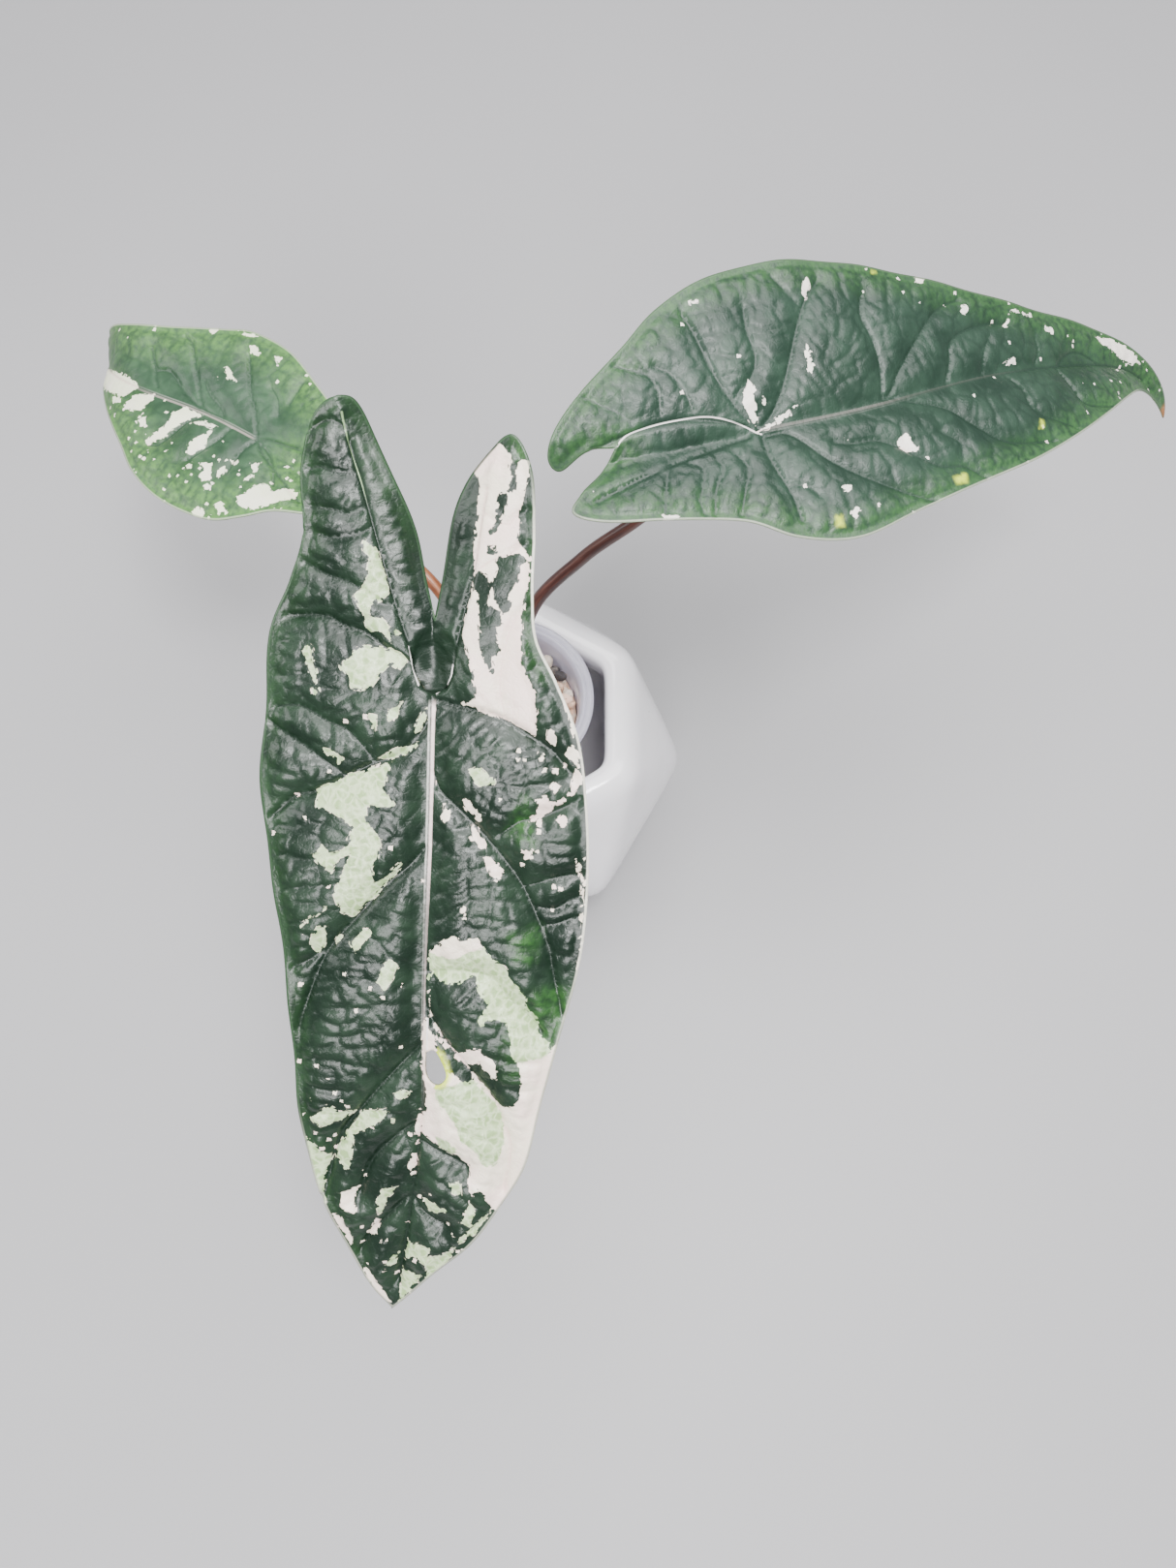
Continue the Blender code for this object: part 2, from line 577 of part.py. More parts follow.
def blade_layout(leaf):
    """Flat points and triangles of a blade: outline, ribs, filling points and any hole."""
    outline = leaf_outline(leaf)
    ribs = np.array(leaf["midrib"][1:-1] + sum((costa[:-1] for costa in leaf["costae"]), ()), float)
    rows = []
    for row, v in enumerate(np.arange(-75.0, 205.0, BLADE_SPACING * 0.87)):
        for u in np.arange(-56.0, 56.0, BLADE_SPACING):
            rows.append((u + (row % 2) * BLADE_SPACING / 2, v))
    grid = np.array(rows)
    keep = inside_loop(outline, grid[:, 0], grid[:, 1])
    closed = np.vstack([outline, outline[:1]])
    keep &= distance_to_path(closed, grid[:, 0], grid[:, 1]) > BLADE_SPACING * 0.42
    hole = np.array(leaf["hole"], dtype=float).reshape(-1, 2)
    near = [np.hypot(*(grid - rib).T) > BLADE_SPACING * 0.45 for rib in np.vstack([ribs, [[0, 0]]])]
    keep &= np.all(near, axis=0)
    if len(hole):
        keep &= distance_to_path(np.vstack([hole, hole[:1]]), grid[:, 0], grid[:, 1]) > 3.0
        keep &= ~inside_loop(hole, grid[:, 0], grid[:, 1])
        ribs = ribs[distance_to_path(np.vstack([hole, hole[:1]]), ribs[:, 0], ribs[:, 1]) > 3.0]
    flat = np.vstack([outline, hole, ribs, [[0.0, 0.0]], grid[keep]])
    edge = len(outline)
    edges = [(i, (i + 1) % edge) for i in range(edge)]
    edges += [(edge + i, edge + (i + 1) % len(hole)) for i in range(len(hole))]
    result = delaunay_2d_cdt([Vector(p) for p in flat], edges, [], 0, 1e-5)
    verts = np.array([tuple(p) for p in result[0]])
    triangles = np.array([tuple(face) for face in result[2]])
    middle = verts[triangles].mean(axis=1)
    solid = inside_loop(outline, middle[:, 0], middle[:, 1])
    if len(hole):
        solid &= ~inside_loop(hole, middle[:, 0], middle[:, 1])
    return verts, triangles[solid]


def make_blade(leaf, material):
    """A blade as a closed sheet, thinner at its margin, with its ribs raised underneath."""
    verts, triangles = blade_layout(leaf)
    used = np.unique(triangles)
    renumber = np.full(len(verts), -1)
    renumber[used] = np.arange(len(used))
    verts, triangles = verts[used], renumber[triangles]
    u, v = verts[:, 0], verts[:, 1]
    frame = leaf_frame(leaf)
    middle = leaf_points(leaf, frame, u, v)
    normal = leaf_normals(leaf, frame, u, v)
    outline = leaf_outline(leaf)
    margin = distance_to_path(np.vstack([outline, outline[:1]]), u, v)
    half = BLADE_THICKNESS / 2 * np.where(margin < 1.0, 0.6, 1.0)
    ribs = distance_to_path(np.array(leaf["midrib"], dtype=float), u, v)
    for costa in leaf["costae"]:
        chain = np.array(((0, 0),) + costa, dtype=float)
        ribs = np.minimum(ribs, distance_to_path(chain, u, v))
    rib = np.where((ribs < 1.0) & (margin > 4.0), RIB_DEPTH, 0.0)
    points = np.vstack([middle + normal * half[:, None], middle - normal * (half + rib)[:, None]])
    count = len(verts)
    faces = [tuple(int(i) for i in face) for face in triangles]
    faces += [tuple(int(i) + count for i in reversed(face)) for face in triangles]
    uses = {}
    for a, b, c in triangles:
        for edge in ((a, b), (b, c), (c, a)):
            uses.setdefault(tuple(sorted(edge)), []).append(edge)
    for both in uses.values():
        if len(both) == 1:
            a, b = (int(i) for i in both[0])
            faces.append((b, a, a + count, b + count))
    return add_piece(leaf["name"], points, faces, material, 60.0)


# Petioles
def make_petiole(petiole, material):
    """A petiole from its foot on the crown to its rounded end under the blade."""
    leaf = petiole["leaf"]
    origin = np.zeros(1)
    frame = leaf_frame(leaf)
    top = leaf_points(leaf, frame, origin, origin)[0]
    normal = leaf_normals(leaf, frame, origin, origin)[0]
    drop = BLADE_THICKNESS / 2 + RIB_DEPTH + GAP + PETIOLE_TIP_RADIUS
    end = top - normal * drop
    angle = math.radians(petiole["foot_angle"])
    foot = (CUP_AXIS[0] + PETIOLE_FOOT_CIRCLE * math.cos(angle),
            CUP_AXIS[1] + PETIOLE_FOOT_CIRCLE * math.sin(angle), CROWN_Z + GAP)
    shank = (foot[0], foot[1], foot[2] + 6.0)
    path = smooth_curve((foot, shank, *petiole["route"], tuple(end)), PETIOLE_RINGS)
    radii = []
    for share in np.linspace(0.0, 1.0, PETIOLE_RINGS):
        swell = max(0.0, 1.0 - share / 0.28) ** 2
        taper = PETIOLE_MID_RADIUS + (PETIOLE_TIP_RADIUS - PETIOLE_MID_RADIUS) * share
        radii.append(taper + (PETIOLE_BASE_RADIUS - PETIOLE_MID_RADIUS) * swell)
    path[1][:2] = foot[:2]
    return add_piece(petiole["name"], *tube(*rounded_end(path, radii), PETIOLE_SIDES), material)


def build():
    """Makes every piece of the plant and its pots."""
    clear_scene()
    make_planter(make_material("glazed_white", WHITE, 0.2))
    make_cup(make_material("clear_plastic", CLEAR, 0.15, alpha=0.45))
    make_fill(make_material("pumice", PUMICE, 0.9))
    make_corm(make_material("corm_bark", BROWN, 0.8))
    make_roots(make_material("root_skin", ROOT_CREAM, 0.7))
    make_grains()
    for petiole in PETIOLES:
        make_petiole(petiole, make_material(petiole["name"], petiole["colour"], 0.4))
    for leaf in LEAVES:
        make_blade(leaf, make_material(leaf["name"], leaf["colour"], 0.35))


build()
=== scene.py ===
"""Looks of the potted alocasia, built round its CAD frame.

Lengths are in millimetres and are scaled to metres as meshes are made. The origin is the
centre of the planter's underside, +Z is up, and the longest leaf hangs towards -Y. A leaf's
own coordinates are u across it and v along it, from the petiole's top towards the tip.
"""
import math
import random

import bmesh
import bpy
import numpy as np
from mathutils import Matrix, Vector, noise
from mathutils.geometry import delaunay_2d_cdt


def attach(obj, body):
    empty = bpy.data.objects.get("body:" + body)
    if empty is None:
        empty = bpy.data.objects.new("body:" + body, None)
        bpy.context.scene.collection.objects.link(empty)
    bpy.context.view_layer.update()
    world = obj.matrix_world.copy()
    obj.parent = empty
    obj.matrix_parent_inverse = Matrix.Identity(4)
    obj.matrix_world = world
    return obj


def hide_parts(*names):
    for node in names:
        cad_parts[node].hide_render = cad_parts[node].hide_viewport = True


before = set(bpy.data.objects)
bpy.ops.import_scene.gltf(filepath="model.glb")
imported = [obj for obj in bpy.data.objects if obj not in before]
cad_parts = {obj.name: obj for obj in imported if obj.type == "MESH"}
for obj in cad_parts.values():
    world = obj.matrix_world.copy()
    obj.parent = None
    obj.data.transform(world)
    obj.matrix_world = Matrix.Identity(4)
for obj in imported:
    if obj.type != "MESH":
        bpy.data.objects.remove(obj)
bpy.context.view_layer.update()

MM = 0.001
CURVE_DETAIL = 24             # steps between two given points of a curve, before it is resampled

# Planter: a hexagonal body of triangular facets, widest at its waist
RIM_Z = 104.0
WAIST_Z = 51.0
RIM_RADIUS = 53.5
WAIST_RADIUS = 71.0
BASE_RADIUS = 51.0
MOUTH_RADIUS = 41.0
WALL = 5.5
FLOOR = 7.0
SIDES = 6
SIDE_TURN = 360 / SIDES
EDGE_SHARPNESS = 34.0
MOUTH_SHARPNESS = 22.0
LEAST_FACING = 0.05           # a side that faces a bearing by less has no say there
PLANTER_SEGMENTS = 336
FOOT_RECESS = 1.2
NECK = 8.0                    # depth of the straight mouth, before the hollow widens
NECK_FLARE = 24.0
SPECK = (45.2, -31.1, 95.8)   # the one dark pinhole in the glaze
SPECK_RADIUS = 0.55

# Inner cup
CUP_AXIS = (-2.4, 5.2)
CUP_RIM_RADIUS = 33.9
CUP_BASE_RADIUS = 24.0
CUP_WALL = 1.0
CUP_FOOT_Z = FLOOR + 0.3
CUP_TOP_Z = RIM_Z + 3.4
CUP_THROAT_RADIUS = 29.0
CUP_THROAT_Z = RIM_Z + 0.1
CUP_SEGMENTS = 144
DRAIN_RADIUS = 1.8
DRAIN_CIRCLE = 14.0
DRAIN_SEGMENTS = 24
DRAINS = 5

# Pumice and corm. A layer of grains has a height, two circles, a grain size and a number.
FILL_TOP_Z = 91.5
GRAIN_LAYERS = ((FILL_TOP_Z + 2.4, 11.0, 25.0, 5.9, 70), (FILL_TOP_Z + 6.2, 11.5, 24.6, 6.4, 44))
GRAIN_CLEARANCE = 0.80        # centres keep this share of a grain's size apart
GRAIN_TRIES = 4000
GRAIN_SEED = 7
GRAIN_FLATS = 9
CORM_RADIUS = 10.0
CORM_CENTRE_Z = 88.0
CORM_HALF_HEIGHT = 14.0
CORM_SEGMENTS = 72
CORM_RINGS = 70
CROWN_Z = 99.5

# Petioles
PETIOLE_BASE_RADIUS = 4.0
PETIOLE_MID_RADIUS = 2.6
PETIOLE_TIP_RADIUS = 1.9
PETIOLE_FOOT_CIRCLE = 5.0
PETIOLE_SIDES = 28
PETIOLE_RINGS = 110
SHANK = 6.0                   # how far a petiole rises straight up from the crown
ABOVE_CROWN = 20.0            # a sheath opens towards the axis, at this height over the crown
BLADE_GAP = 0.8
SWELL_SHARE = 0.28            # how much of a petiole its swollen foot takes
SHEATH_SHARE = 0.34           # how much of a petiole its open sheath takes
NOSE_SHARE = 0.015            # how much of a petiole its rounded end takes
SHEATH_WING = (0.75, 0.24, 0.22)   # bearing from the slit, width and height
SHEATH_SLIT = (0.42, 0.26)         # width and depth
STALK_RIBS = 7
STALK_RIB_HEIGHT = 0.012      # as a share of the radius
STREAK_STRETCH = 0.12
PETIOLE_SPAN = 150.0          # about how long a petiole is, for the streaks on it

# Blades
BLADE_THICKNESS = 1.0
SPINE_START = -90.0
SPINE_END = 220.0
SPINE_STEP = 0.5
SPINE_BLUR = 20               # steps each way over which a bend is eased
TROUGH_RUN_IN = 6.0
SLOPE_REACH = 1.2
EDGE_STEP = 0.75
EDGE_CLEARANCE = 0.4
RIM_OFFSETS = (0.55, 1.15, 1.8, 2.5, 3.3)
VEIN_OFFSETS = (0.0, 0.5, 1.1, 1.8)
THREAD_OFFSETS = (0.0, 0.4, 0.9)
VEIN_REACHES = ((1.0, 4.6), (0.95, 4.2), (0.6, 3.0))   # depth and width: ribs, laterals, twigs
VALLEY_WIDTH = 0.75
RIB_WIDTH = 1.1
CHAIN_STEP = 2.0              # between the points of a vein that distances are measured to
FAR = 9.0                     # stands for a vein or thread that is nowhere near
LADDER_FADE = 2.4             # how far a vein's say over the cushions beside it reaches
LADDER_MEAN = 0.65
EDGE_FADE = 5.0               # how far the margin's say reaches
EDGE_PITCH = 1.25             # cushions along the margin are longer by this
WOBBLE = 2.2                  # how far the cushions wander
WAVE_LENGTH = 31.0            # of the margin's waves
HOLE_POINTS = 30
PATCH_REACH = 6.0             # patch distances are kept up to this far
YELLOW_LOSS = 0.6             # how far the yellow spots are drawn in
ISLAND_GROWTH = 0.35          # how far the green islands are let out
HOLLOW_DEPTH = 2.4
NET_CELLS = 97                # the net of small veins repeats only after this many cells
NET_WIDTH = 0.62
NET_SEED = 11

# Blade meshes: the gap that each group of points keeps to all points placed before it
OUTLINE_GAP = 0.05
RIM_GAP = 0.42
THREAD_GAP = 0.3
VEIN_GAP = 0.5
GRID_GAP_SHARE = 0.72         # of the grid's spacing

# Colours, as linear red, green and blue
GLAZE = (0.90, 0.875, 0.905)
GLAZE_SHADE = (0.84, 0.81, 0.855)
GLAZE_PIT = (0.20, 0.17, 0.16)
SPECK_GREY = (0.16, 0.13, 0.14)
BISQUE = (0.62, 0.57, 0.52)
CUP_LILAC = (0.78, 0.76, 0.90)
CUP_HAZE = (0.90, 0.88, 0.95)
GRAIN_COLOURS = ((0.66, 0.42, 0.29), (0.74, 0.50, 0.38), (0.72, 0.62, 0.52), (0.80, 0.74, 0.68),
                 (0.62, 0.36, 0.27), (0.045, 0.04, 0.042))
GRAIN_WEIGHTS = (5, 5, 4, 4, 3, 2)
GRAIN_DUST = (0.86, 0.76, 0.66)
# Painted shade in the pumice's pores
GRAIN_PORE_SHADE = (0.20, 0.11, 0.07)
BARK_DARK = (0.06, 0.03, 0.018)
BARK_BROWN = (0.26, 0.15, 0.08)
BARK_FIBRE = (0.40, 0.27, 0.16)
ROOT_CREAM = (0.62, 0.55, 0.40)
ROOT_BROWN = (0.34, 0.22, 0.12)
MAROON = (0.040, 0.011, 0.009)
MAROON_LIGHT = (0.10, 0.034, 0.024)
ORANGE_BROWN = (0.17, 0.050, 0.020)
ORANGE_LIGHT = (0.30, 0.105, 0.040)
SHEATH_PINK = (0.50, 0.33, 0.30)
CREAM = (0.80, 0.71, 0.58)
PINK = (0.82, 0.65, 0.58)
MINT = (0.27, 0.385, 0.17)
MINT_VEIN = (0.50, 0.60, 0.37)
PINK_VEIN = (0.62, 0.40, 0.38)
# Yellow of the right leaf's spots, also used as painted light on the lit side of the front leaf's hole
YELLOW = (0.55, 0.66, 0.04)
RIM_CREAM = (0.72, 0.70, 0.60)
HOOK_BROWN = (0.30, 0.12, 0.03)
UNDER_GREEN = (0.10, 0.19, 0.085)
UNDER_VEIN = (0.17, 0.27, 0.12)
UNDER_PALE = (0.50, 0.50, 0.36)
UNDER_RIB = (0.30, 0.30, 0.16)
MIDRIB_PINK = (0.74, 0.60, 0.57)
MIDRIB_GREY = (0.40, 0.40, 0.36)
THREAD_WHITE = (0.74, 0.70, 0.68)
THREAD_GREEN = (0.19, 0.28, 0.14)
LOOKS = {
    "front_blade": {
        "dark": (0.0035, 0.0115, 0.0060), "mid": (0.0115, 0.028, 0.0145),
        "bright": (0.026, 0.088, 0.018), "edge": (0.030, 0.065, 0.030),
        "cream": CREAM, "pink": PINK, "roughness": 0.35, "gloss": 0.22, "pore_depth": 0.05},
    "right_blade": {
        "dark": (0.0105, 0.027, 0.0170), "mid": (0.021, 0.047, 0.030),
        "bright": (0.040, 0.110, 0.034), "edge": (0.060, 0.115, 0.055),
        "cream": (0.80, 0.76, 0.67), "pink": (0.80, 0.73, 0.68),
        "roughness": 0.40, "gloss": 0.10, "pore_depth": 0.045},
    "left_blade": {
        "dark": (0.020, 0.048, 0.026), "mid": (0.043, 0.096, 0.050),
        "bright": (0.090, 0.215, 0.055), "edge": (0.11, 0.21, 0.08),
        "cream": (0.77, 0.80, 0.58), "pink": (0.80, 0.78, 0.64),
        "roughness": 0.42, "gloss": 0.08, "pore_depth": 0.04},
}

# Stage and camera, in metres: a light has a name, a place, a side and a power in watts
FLOOR_REACH = 15.0
FLOOR_GREYS = ((0.33, 0.325, 0.335), (0.36, 0.355, 0.365))
LIGHT_TARGET = Vector((0.02, -0.05, 0.16))
LIGHTS = (
    ("front_key", (-0.12, -0.85, 1.12), 0.55, 18.0),
    ("overhead", (0.25, 0.32, 1.30), 1.1, 27.0),
    ("above_planter", (0.20, -0.22, 1.30), 0.32, 15.0),
    ("left_fill", (-1.20, 0.10, 0.90), 0.7, 10.0),
)
SKY = (0.86, 0.88, 0.92)
SKY_STRENGTH = 0.42
CAMERA_PLACE = (0.0292, -0.1707, 0.5276)
CAMERA_PITCH = 71.5           # degrees below the horizon
CAMERA_LENS = 27.08
CAMERA_SENSOR = 36.0
CAMERA_NEAR = 0.01

# Front leaf: the deep lateral veins, as (across, along) points from the midrib outwards
FRONT_LATERALS = (
    ((1, 3), (-1, 8), (-3, 11), (-7, 16), (-14, 19), (-27, 27), (-33, 29), (-39, 35)),
    ((2, 38), (-2, 44), (-9, 51), (-15, 59), (-23, 70), (-28, 84), (-30, 92)),
    ((3, 93), (2, 95), (-5, 104), (-12, 114), (-18, 124), (-21, 138), (-22, 144)),
    ((3, 117), (-3, 123), (-9, 131), (-12, 142)),
    ((2, 141), (-3, 148), (-8, 155), (-11, 162)),
    ((-2, -2), (-5, -7), (-9, -9), (-13, -11), (-18, -14), (-23, -15), (-29, -17), (-38, -16)),
    ((1, 1), (8, 2), (17, 3), (23, 6), (27, 8), (32, 11), (37, 16)),
    ((2, 20), (4, 24), (9, 28), (17, 35), (26, 45), (31, 54), (35, 63), (37, 71), (40, 82)),
    ((3, 80), (4, 83), (7, 89), (12, 95), (20, 104), (24, 109), (27, 116), (29, 122), (28, 135)),
    ((3, 73), (10, 72), (16, 72), (21, 73), (25, 78), (30, 82), (35, 87)),
    ((3, 122), (6, 124), (10, 126), (13, 127), (17, 129)),
    ((3, 141), (5, 145), (9, 148), (12, 149)),
)
# Its shallower side veins
FRONT_TWIGS = (
    ((-14, 17), (-20, 11), (-26, 9), (-33, 6), (-40, 7)),
    ((-21, 22), (-31, 16), (-41, 11)),
    ((-19, 64), (-26, 71), (-32, 75)),
    ((-11, -23), (-13, -21), (-17, -23), (-23, -26), (-28, -27), (-35, -30)),
    ((-16, -37), (-18, -40), (-21, -38), (-28, -36), (-32, -37), (-35, -37)),
    ((-19, -45), (-24, -42), (-27, -43), (-31, -43), (-35, -43)),
    ((-21, -49), (-24, -52), (-29, -52), (-32, -53), (-35, -52)),
    ((-27, -63), (-30, -64), (-33, -63), (-35, -61)),
    ((20, 34), (23, 31), (26, 29), (30, 28), (37, 24), (40, 22)),
    ((27, 47), (32, 45), (37, 43), (42, 42)),
    ((30, 52), (36, 52), (40, 49), (43, 48)),
    ((33, 57), (37, 56), (41, 54), (43, 54)),
    ((8, -32), (12, -35), (16, -37), (19, -39), (21, -40)),
    ((8, -47), (11, -45), (15, -44), (17, -46), (20, -48)),
    ((19, 3), (17, -4), (17, -12), (18, -18), (20, -23), (22, -25)),
)
# Its pink and white patches
FRONT_PINK = (
    ((6, -58), (11, -63), (13, -62), (15, -59), (19, -59), (19, -54), (18, -46), (18, -40), (21, -37),
     (22, -33), (21, -25), (21, -19), (22, -11), (26, -4), (27, 1), (27, 7), (19, 4), (8, 1), (11, -1),
     (10, -8), (6, -16), (7, -26), (7, -33), (7, -43), (7, -52), (6, -56)),
    ((10, 25), (12, 25), (14, 27), (15, 30), (13, 29), (11, 28)),
    ((12, 32), (13, 31), (15, 33), (17, 36), (17, 38), (15, 37), (13, 35)),
    ((17, 39), (18, 39), (20, 41), (22, 43), (21, 45), (19, 44), (18, 42)),
    ((5, 27), (6, 27), (7, 30), (6, 32), (5, 30)),
    ((12, 53), (13, 53), (13, 55), (12, 54)),
    ((31, 4), (32, 7), (32, 9), (30, 8), (30, 5)),
    ((28, 11), (30, 11), (30, 12), (29, 13)),
    ((32, 15), (34, 15), (33, 16), (32, 16)),
    ((32, 19), (33, 18), (35, 19), (33, 21), (32, 20)),
    ((33, -3), (36, 2), (37, 6), (35, 11), (38, 14), (37, 18), (37, 20), (35, 23), (32, 23), (31, 22),
     (29, 23), (29, 27), (27, 29), (29, 30), (30, 28), (33, 26), (33, 24), (36, 23), (38, 21),
     (40, 17)),
    ((34, 28), (36, 26), (37, 28), (36, 29)),
    ((27, 36), (29, 36), (29, 38), (27, 39)),
    ((40, 38), (43, 43), (43, 45), (43, 68), (43, 64), (42, 45), (41, 41)),
    ((-17, 141), (-13, 140), (-13, 147), (-17, 146)),
    ((-9, 155), (-7, 150), (-6, 151), (-7, 156), (-8, 157)),
    ((-19, 149), (-17, 149), (-14, 155), (-13, 161), (-17, 154)),
    ((-10, 167), (-8, 168), (-5, 173), (-1, 180), (-5, 178)),
)
# Green islands inside the pink patches
FRONT_ISLANDS = (
    ((17, -60), (16, -57), (16, -52), (15, -53), (15, -56), (15, -58)),
    ((13, -51), (14, -51), (14, -47), (13, -44), (11, -41), (11, -42), (13, -44), (12, -47), (13, -50)),
    ((11, -38), (13, -39), (13, -37), (11, -37)),
    ((13, -35), (14, -36), (19, -37), (20, -36), (18, -35), (19, -31), (17, -27), (17, -23), (16, -22),
     (15, -25), (14, -26), (13, -29), (14, -33)),
    ((8, -30), (9, -32), (11, -31), (12, -27), (12, -24), (15, -23), (16, -20), (14, -19), (16, -13),
     (14, -12), (15, -8), (14, -8), (12, -12), (11, -18), (10, -23), (10, -27), (9, -27)),
    ((4, 73), (7, 75), (12, 75), (16, 73), (17, 76), (20, 79), (19, 82), (17, 84), (19, 86), (21, 84),
     (25, 85), (27, 90), (27, 93), (29, 95), (30, 101), (29, 108), (26, 109), (22, 105), (16, 98),
     (19, 97), (23, 101), (24, 101), (24, 95), (20, 93), (20, 91), (13, 94), (10, 93), (5, 84)),
    ((4, 85), (8, 92), (12, 96), (17, 101), (17, 103), (11, 100), (9, 97), (5, 89)),
)
# Its mint patches
FRONT_MINT = (
    ((-20, -37), (-17, -35), (-15, -31), (-13, -27), (-13, -24), (-17, -21), (-17, -18), (-14, -18),
     (-12, -16), (-11, -12), (-14, -15), (-17, -14), (-18, -16), (-19, -20), (-21, -23), (-19, -26),
     (-18, -28), (-18, -32), (-20, -34)),
    ((-11, -16), (-9, -15), (-10, -13), (-11, -14)),
    ((-23, -5), (-20, -9), (-18, -11), (-14, -11), (-9, -10), (-7, -8), (-8, -6), (-11, -7), (-15, -1),
     (-17, 0), (-20, 0), (-21, -3)),
    ((-33, -8), (-31, -10), (-30, -8), (-30, -6), (-29, -3), (-29, 0), (-31, -3), (-32, -6)),
    ((-30, 1), (-28, 1), (-28, 3), (-29, 3)),
    ((-28, 27), (-21, 23), (-12, 19), (-9, 18), (-10, 24), (-7, 28), (-8, 29), (-12, 29), (-14, 29),
     (-14, 32), (-12, 35), (-10, 37), (-10, 42), (-12, 45), (-11, 49), (-8, 47), (-4, 43), (-4, 44),
     (-9, 51), (-16, 59), (-19, 58), (-21, 52), (-19, 47), (-17, 42), (-20, 43), (-22, 47), (-24, 46),
     (-26, 45), (-27, 43), (-25, 40), (-23, 42), (-19, 41), (-18, 39), (-17, 35), (-20, 33), (-24, 31),
     (-27, 31)),
    ((-15, 6), (-13, 6), (-13, 10), (-14, 9)),
    ((-11, 5), (-7, 2), (-8, 6), (-10, 7)),
    ((-4, 10), (-3, 6), (-1, 3), (-1, 6), (-2, 9)),
    ((-12, 17), (-7, 14), (-2, 12), (-5, 15), (-9, 17)),
    ((-26, 16), (-23, 16), (-21, 18), (-22, 21), (-23, 18), (-26, 17)),
    ((-30, 63), (-26, 59), (-23, 56), (-23, 57), (-28, 61)),
    ((-25, 62), (-23, 62), (-23, 66), (-25, 71), (-27, 67), (-26, 64)),
    ((-21, 67), (-20, 65), (-19, 65), (-20, 67)),
    ((-17, 66), (-12, 61), (-11, 63), (-14, 67), (-15, 69), (-16, 67)),
    ((-6, 69), (-4, 71), (-5, 75), (-7, 78), (-9, 76), (-8, 72)),
    ((11, 17), (14, 16), (18, 19), (18, 20), (15, 21), (13, 20)),
    ((-26, 118), (-21, 113), (-18, 115), (-14, 115), (-17, 118), (-23, 120), (-25, 119)),
    ((-12, 115), (-5, 113), (-5, 115), (-7, 117), (-11, 120), (-14, 122), (-14, 126), (-15, 133),
     (-16, 134), (-18, 131), (-19, 131), (-18, 127), (-16, 122)),
    ((-4, 109), (-2, 107), (1, 108), (-2, 110)),
    ((-4, 115), (-3, 116), (-3, 118), (-4, 117)),
    ((-28, 123), (-26, 126), (-23, 128), (-22, 130), (-20, 130), (-21, 134), (-22, 137), (-22, 141),
     (-21, 146), (-25, 139), (-27, 129)),
    ((-7, 144), (-5, 138), (-1, 138), (-4, 141), (-5, 146), (-6, 148)),
    ((-4, 165), (0, 161), (-1, 165), (-3, 166)),
    ((2, 157), (6, 156), (9, 156), (8, 162), (4, 161), (1, 164)),
    ((9, 160), (16, 155), (13, 163), (8, 169)),
    ((1, 167), (7, 167), (4, 173), (1, 180)),
    ((13, 133), (16, 133), (17, 137), (14, 136)),
    ((6, 141), (10, 141), (14, 143), (8, 145)),
    ((19, 139), (21, 142), (19, 147), (17, 146)),
    ((17, 151), (25, 141), (22, 148), (17, 153)),
)
# Where the large pink patch turns mint
FRONT_MINT_TINT = (
    ((4, 67), (10, 68), (15, 65), (19, 63), (31, 75), (38, 89), (37, 93), (29, 95), (22, 90), (4, 76)),
    ((7, 105), (17, 102), (19, 104), (25, 110), (27, 117), (27, 123), (25, 127), (22, 127), (20, 123),
     (16, 120), (14, 115), (9, 110)),
    ((8, 120), (11, 120), (16, 125), (13, 125), (9, 123)),
)
# Where its green is brighter
FRONT_BRIGHT = (
    ((25, 60), (32, 58), (31, 66), (27, 66)),
    ((33, 75), (42, 75), (39, 86), (34, 82)),
    ((26, 23), (29, 35), (23, 32)),
)
# The large pink and mint patch, which runs out over the right margin
FRONT_LARGE = (
    (4, 67), (7, 64), (8, 63), (11, 61), (12, 62), (17, 61), (21, 67), (25, 68), (25, 71),
    (30, 76), (30, 80), (34, 84), (34, 87), (37, 89), (37, 92), (39, 90), (46, 92), (44, 125),
    (34, 146), (25, 140), (21, 134), (19, 138), (18, 128), (13, 125), (9, 123), (4, 120), (5, 114),
    (5, 107), (4, 104), (3, 97), (3, 87), (5, 85), (4, 74))
# Right leaf: its lateral veins
RIGHT_LATERALS = (
    ((1, 1), (7, -4), (19, -9), (34, -12), (40, -14)),
    ((1, 2), (5, 7), (13, 13), (28, 22), (37, 29), (42, 36)),
    ((1, 47), (2, 50), (8, 56), (21, 74), (25, 83), (26, 91)),
    ((1, 46), (12, 49), (21, 49), (28, 48), (34, 51)),
    ((0, 73), (7, 78), (12, 80), (15, 87), (16, 99), (15, 109)),
    ((-3, 127), (2, 138), (2, 146), (-2, 156)),
    ((-2, 1), (-3, 10), (-16, 21), (-30, 38), (-37, 48)),
    ((0, 50), (-1, 52), (-8, 67), (-17, 75), (-26, 85), (-30, 105)),
    ((-2, 1), (-10, 1), (-19, 3), (-24, 4), (-31, 4)),
    ((-9, 23), (-11, 29), (-12, 37), (-16, 43), (-26, 54), (-29, 63), (-35, 69)),
    ((-3, 127), (-11, 129), (-19, 132), (-22, 151)),
)
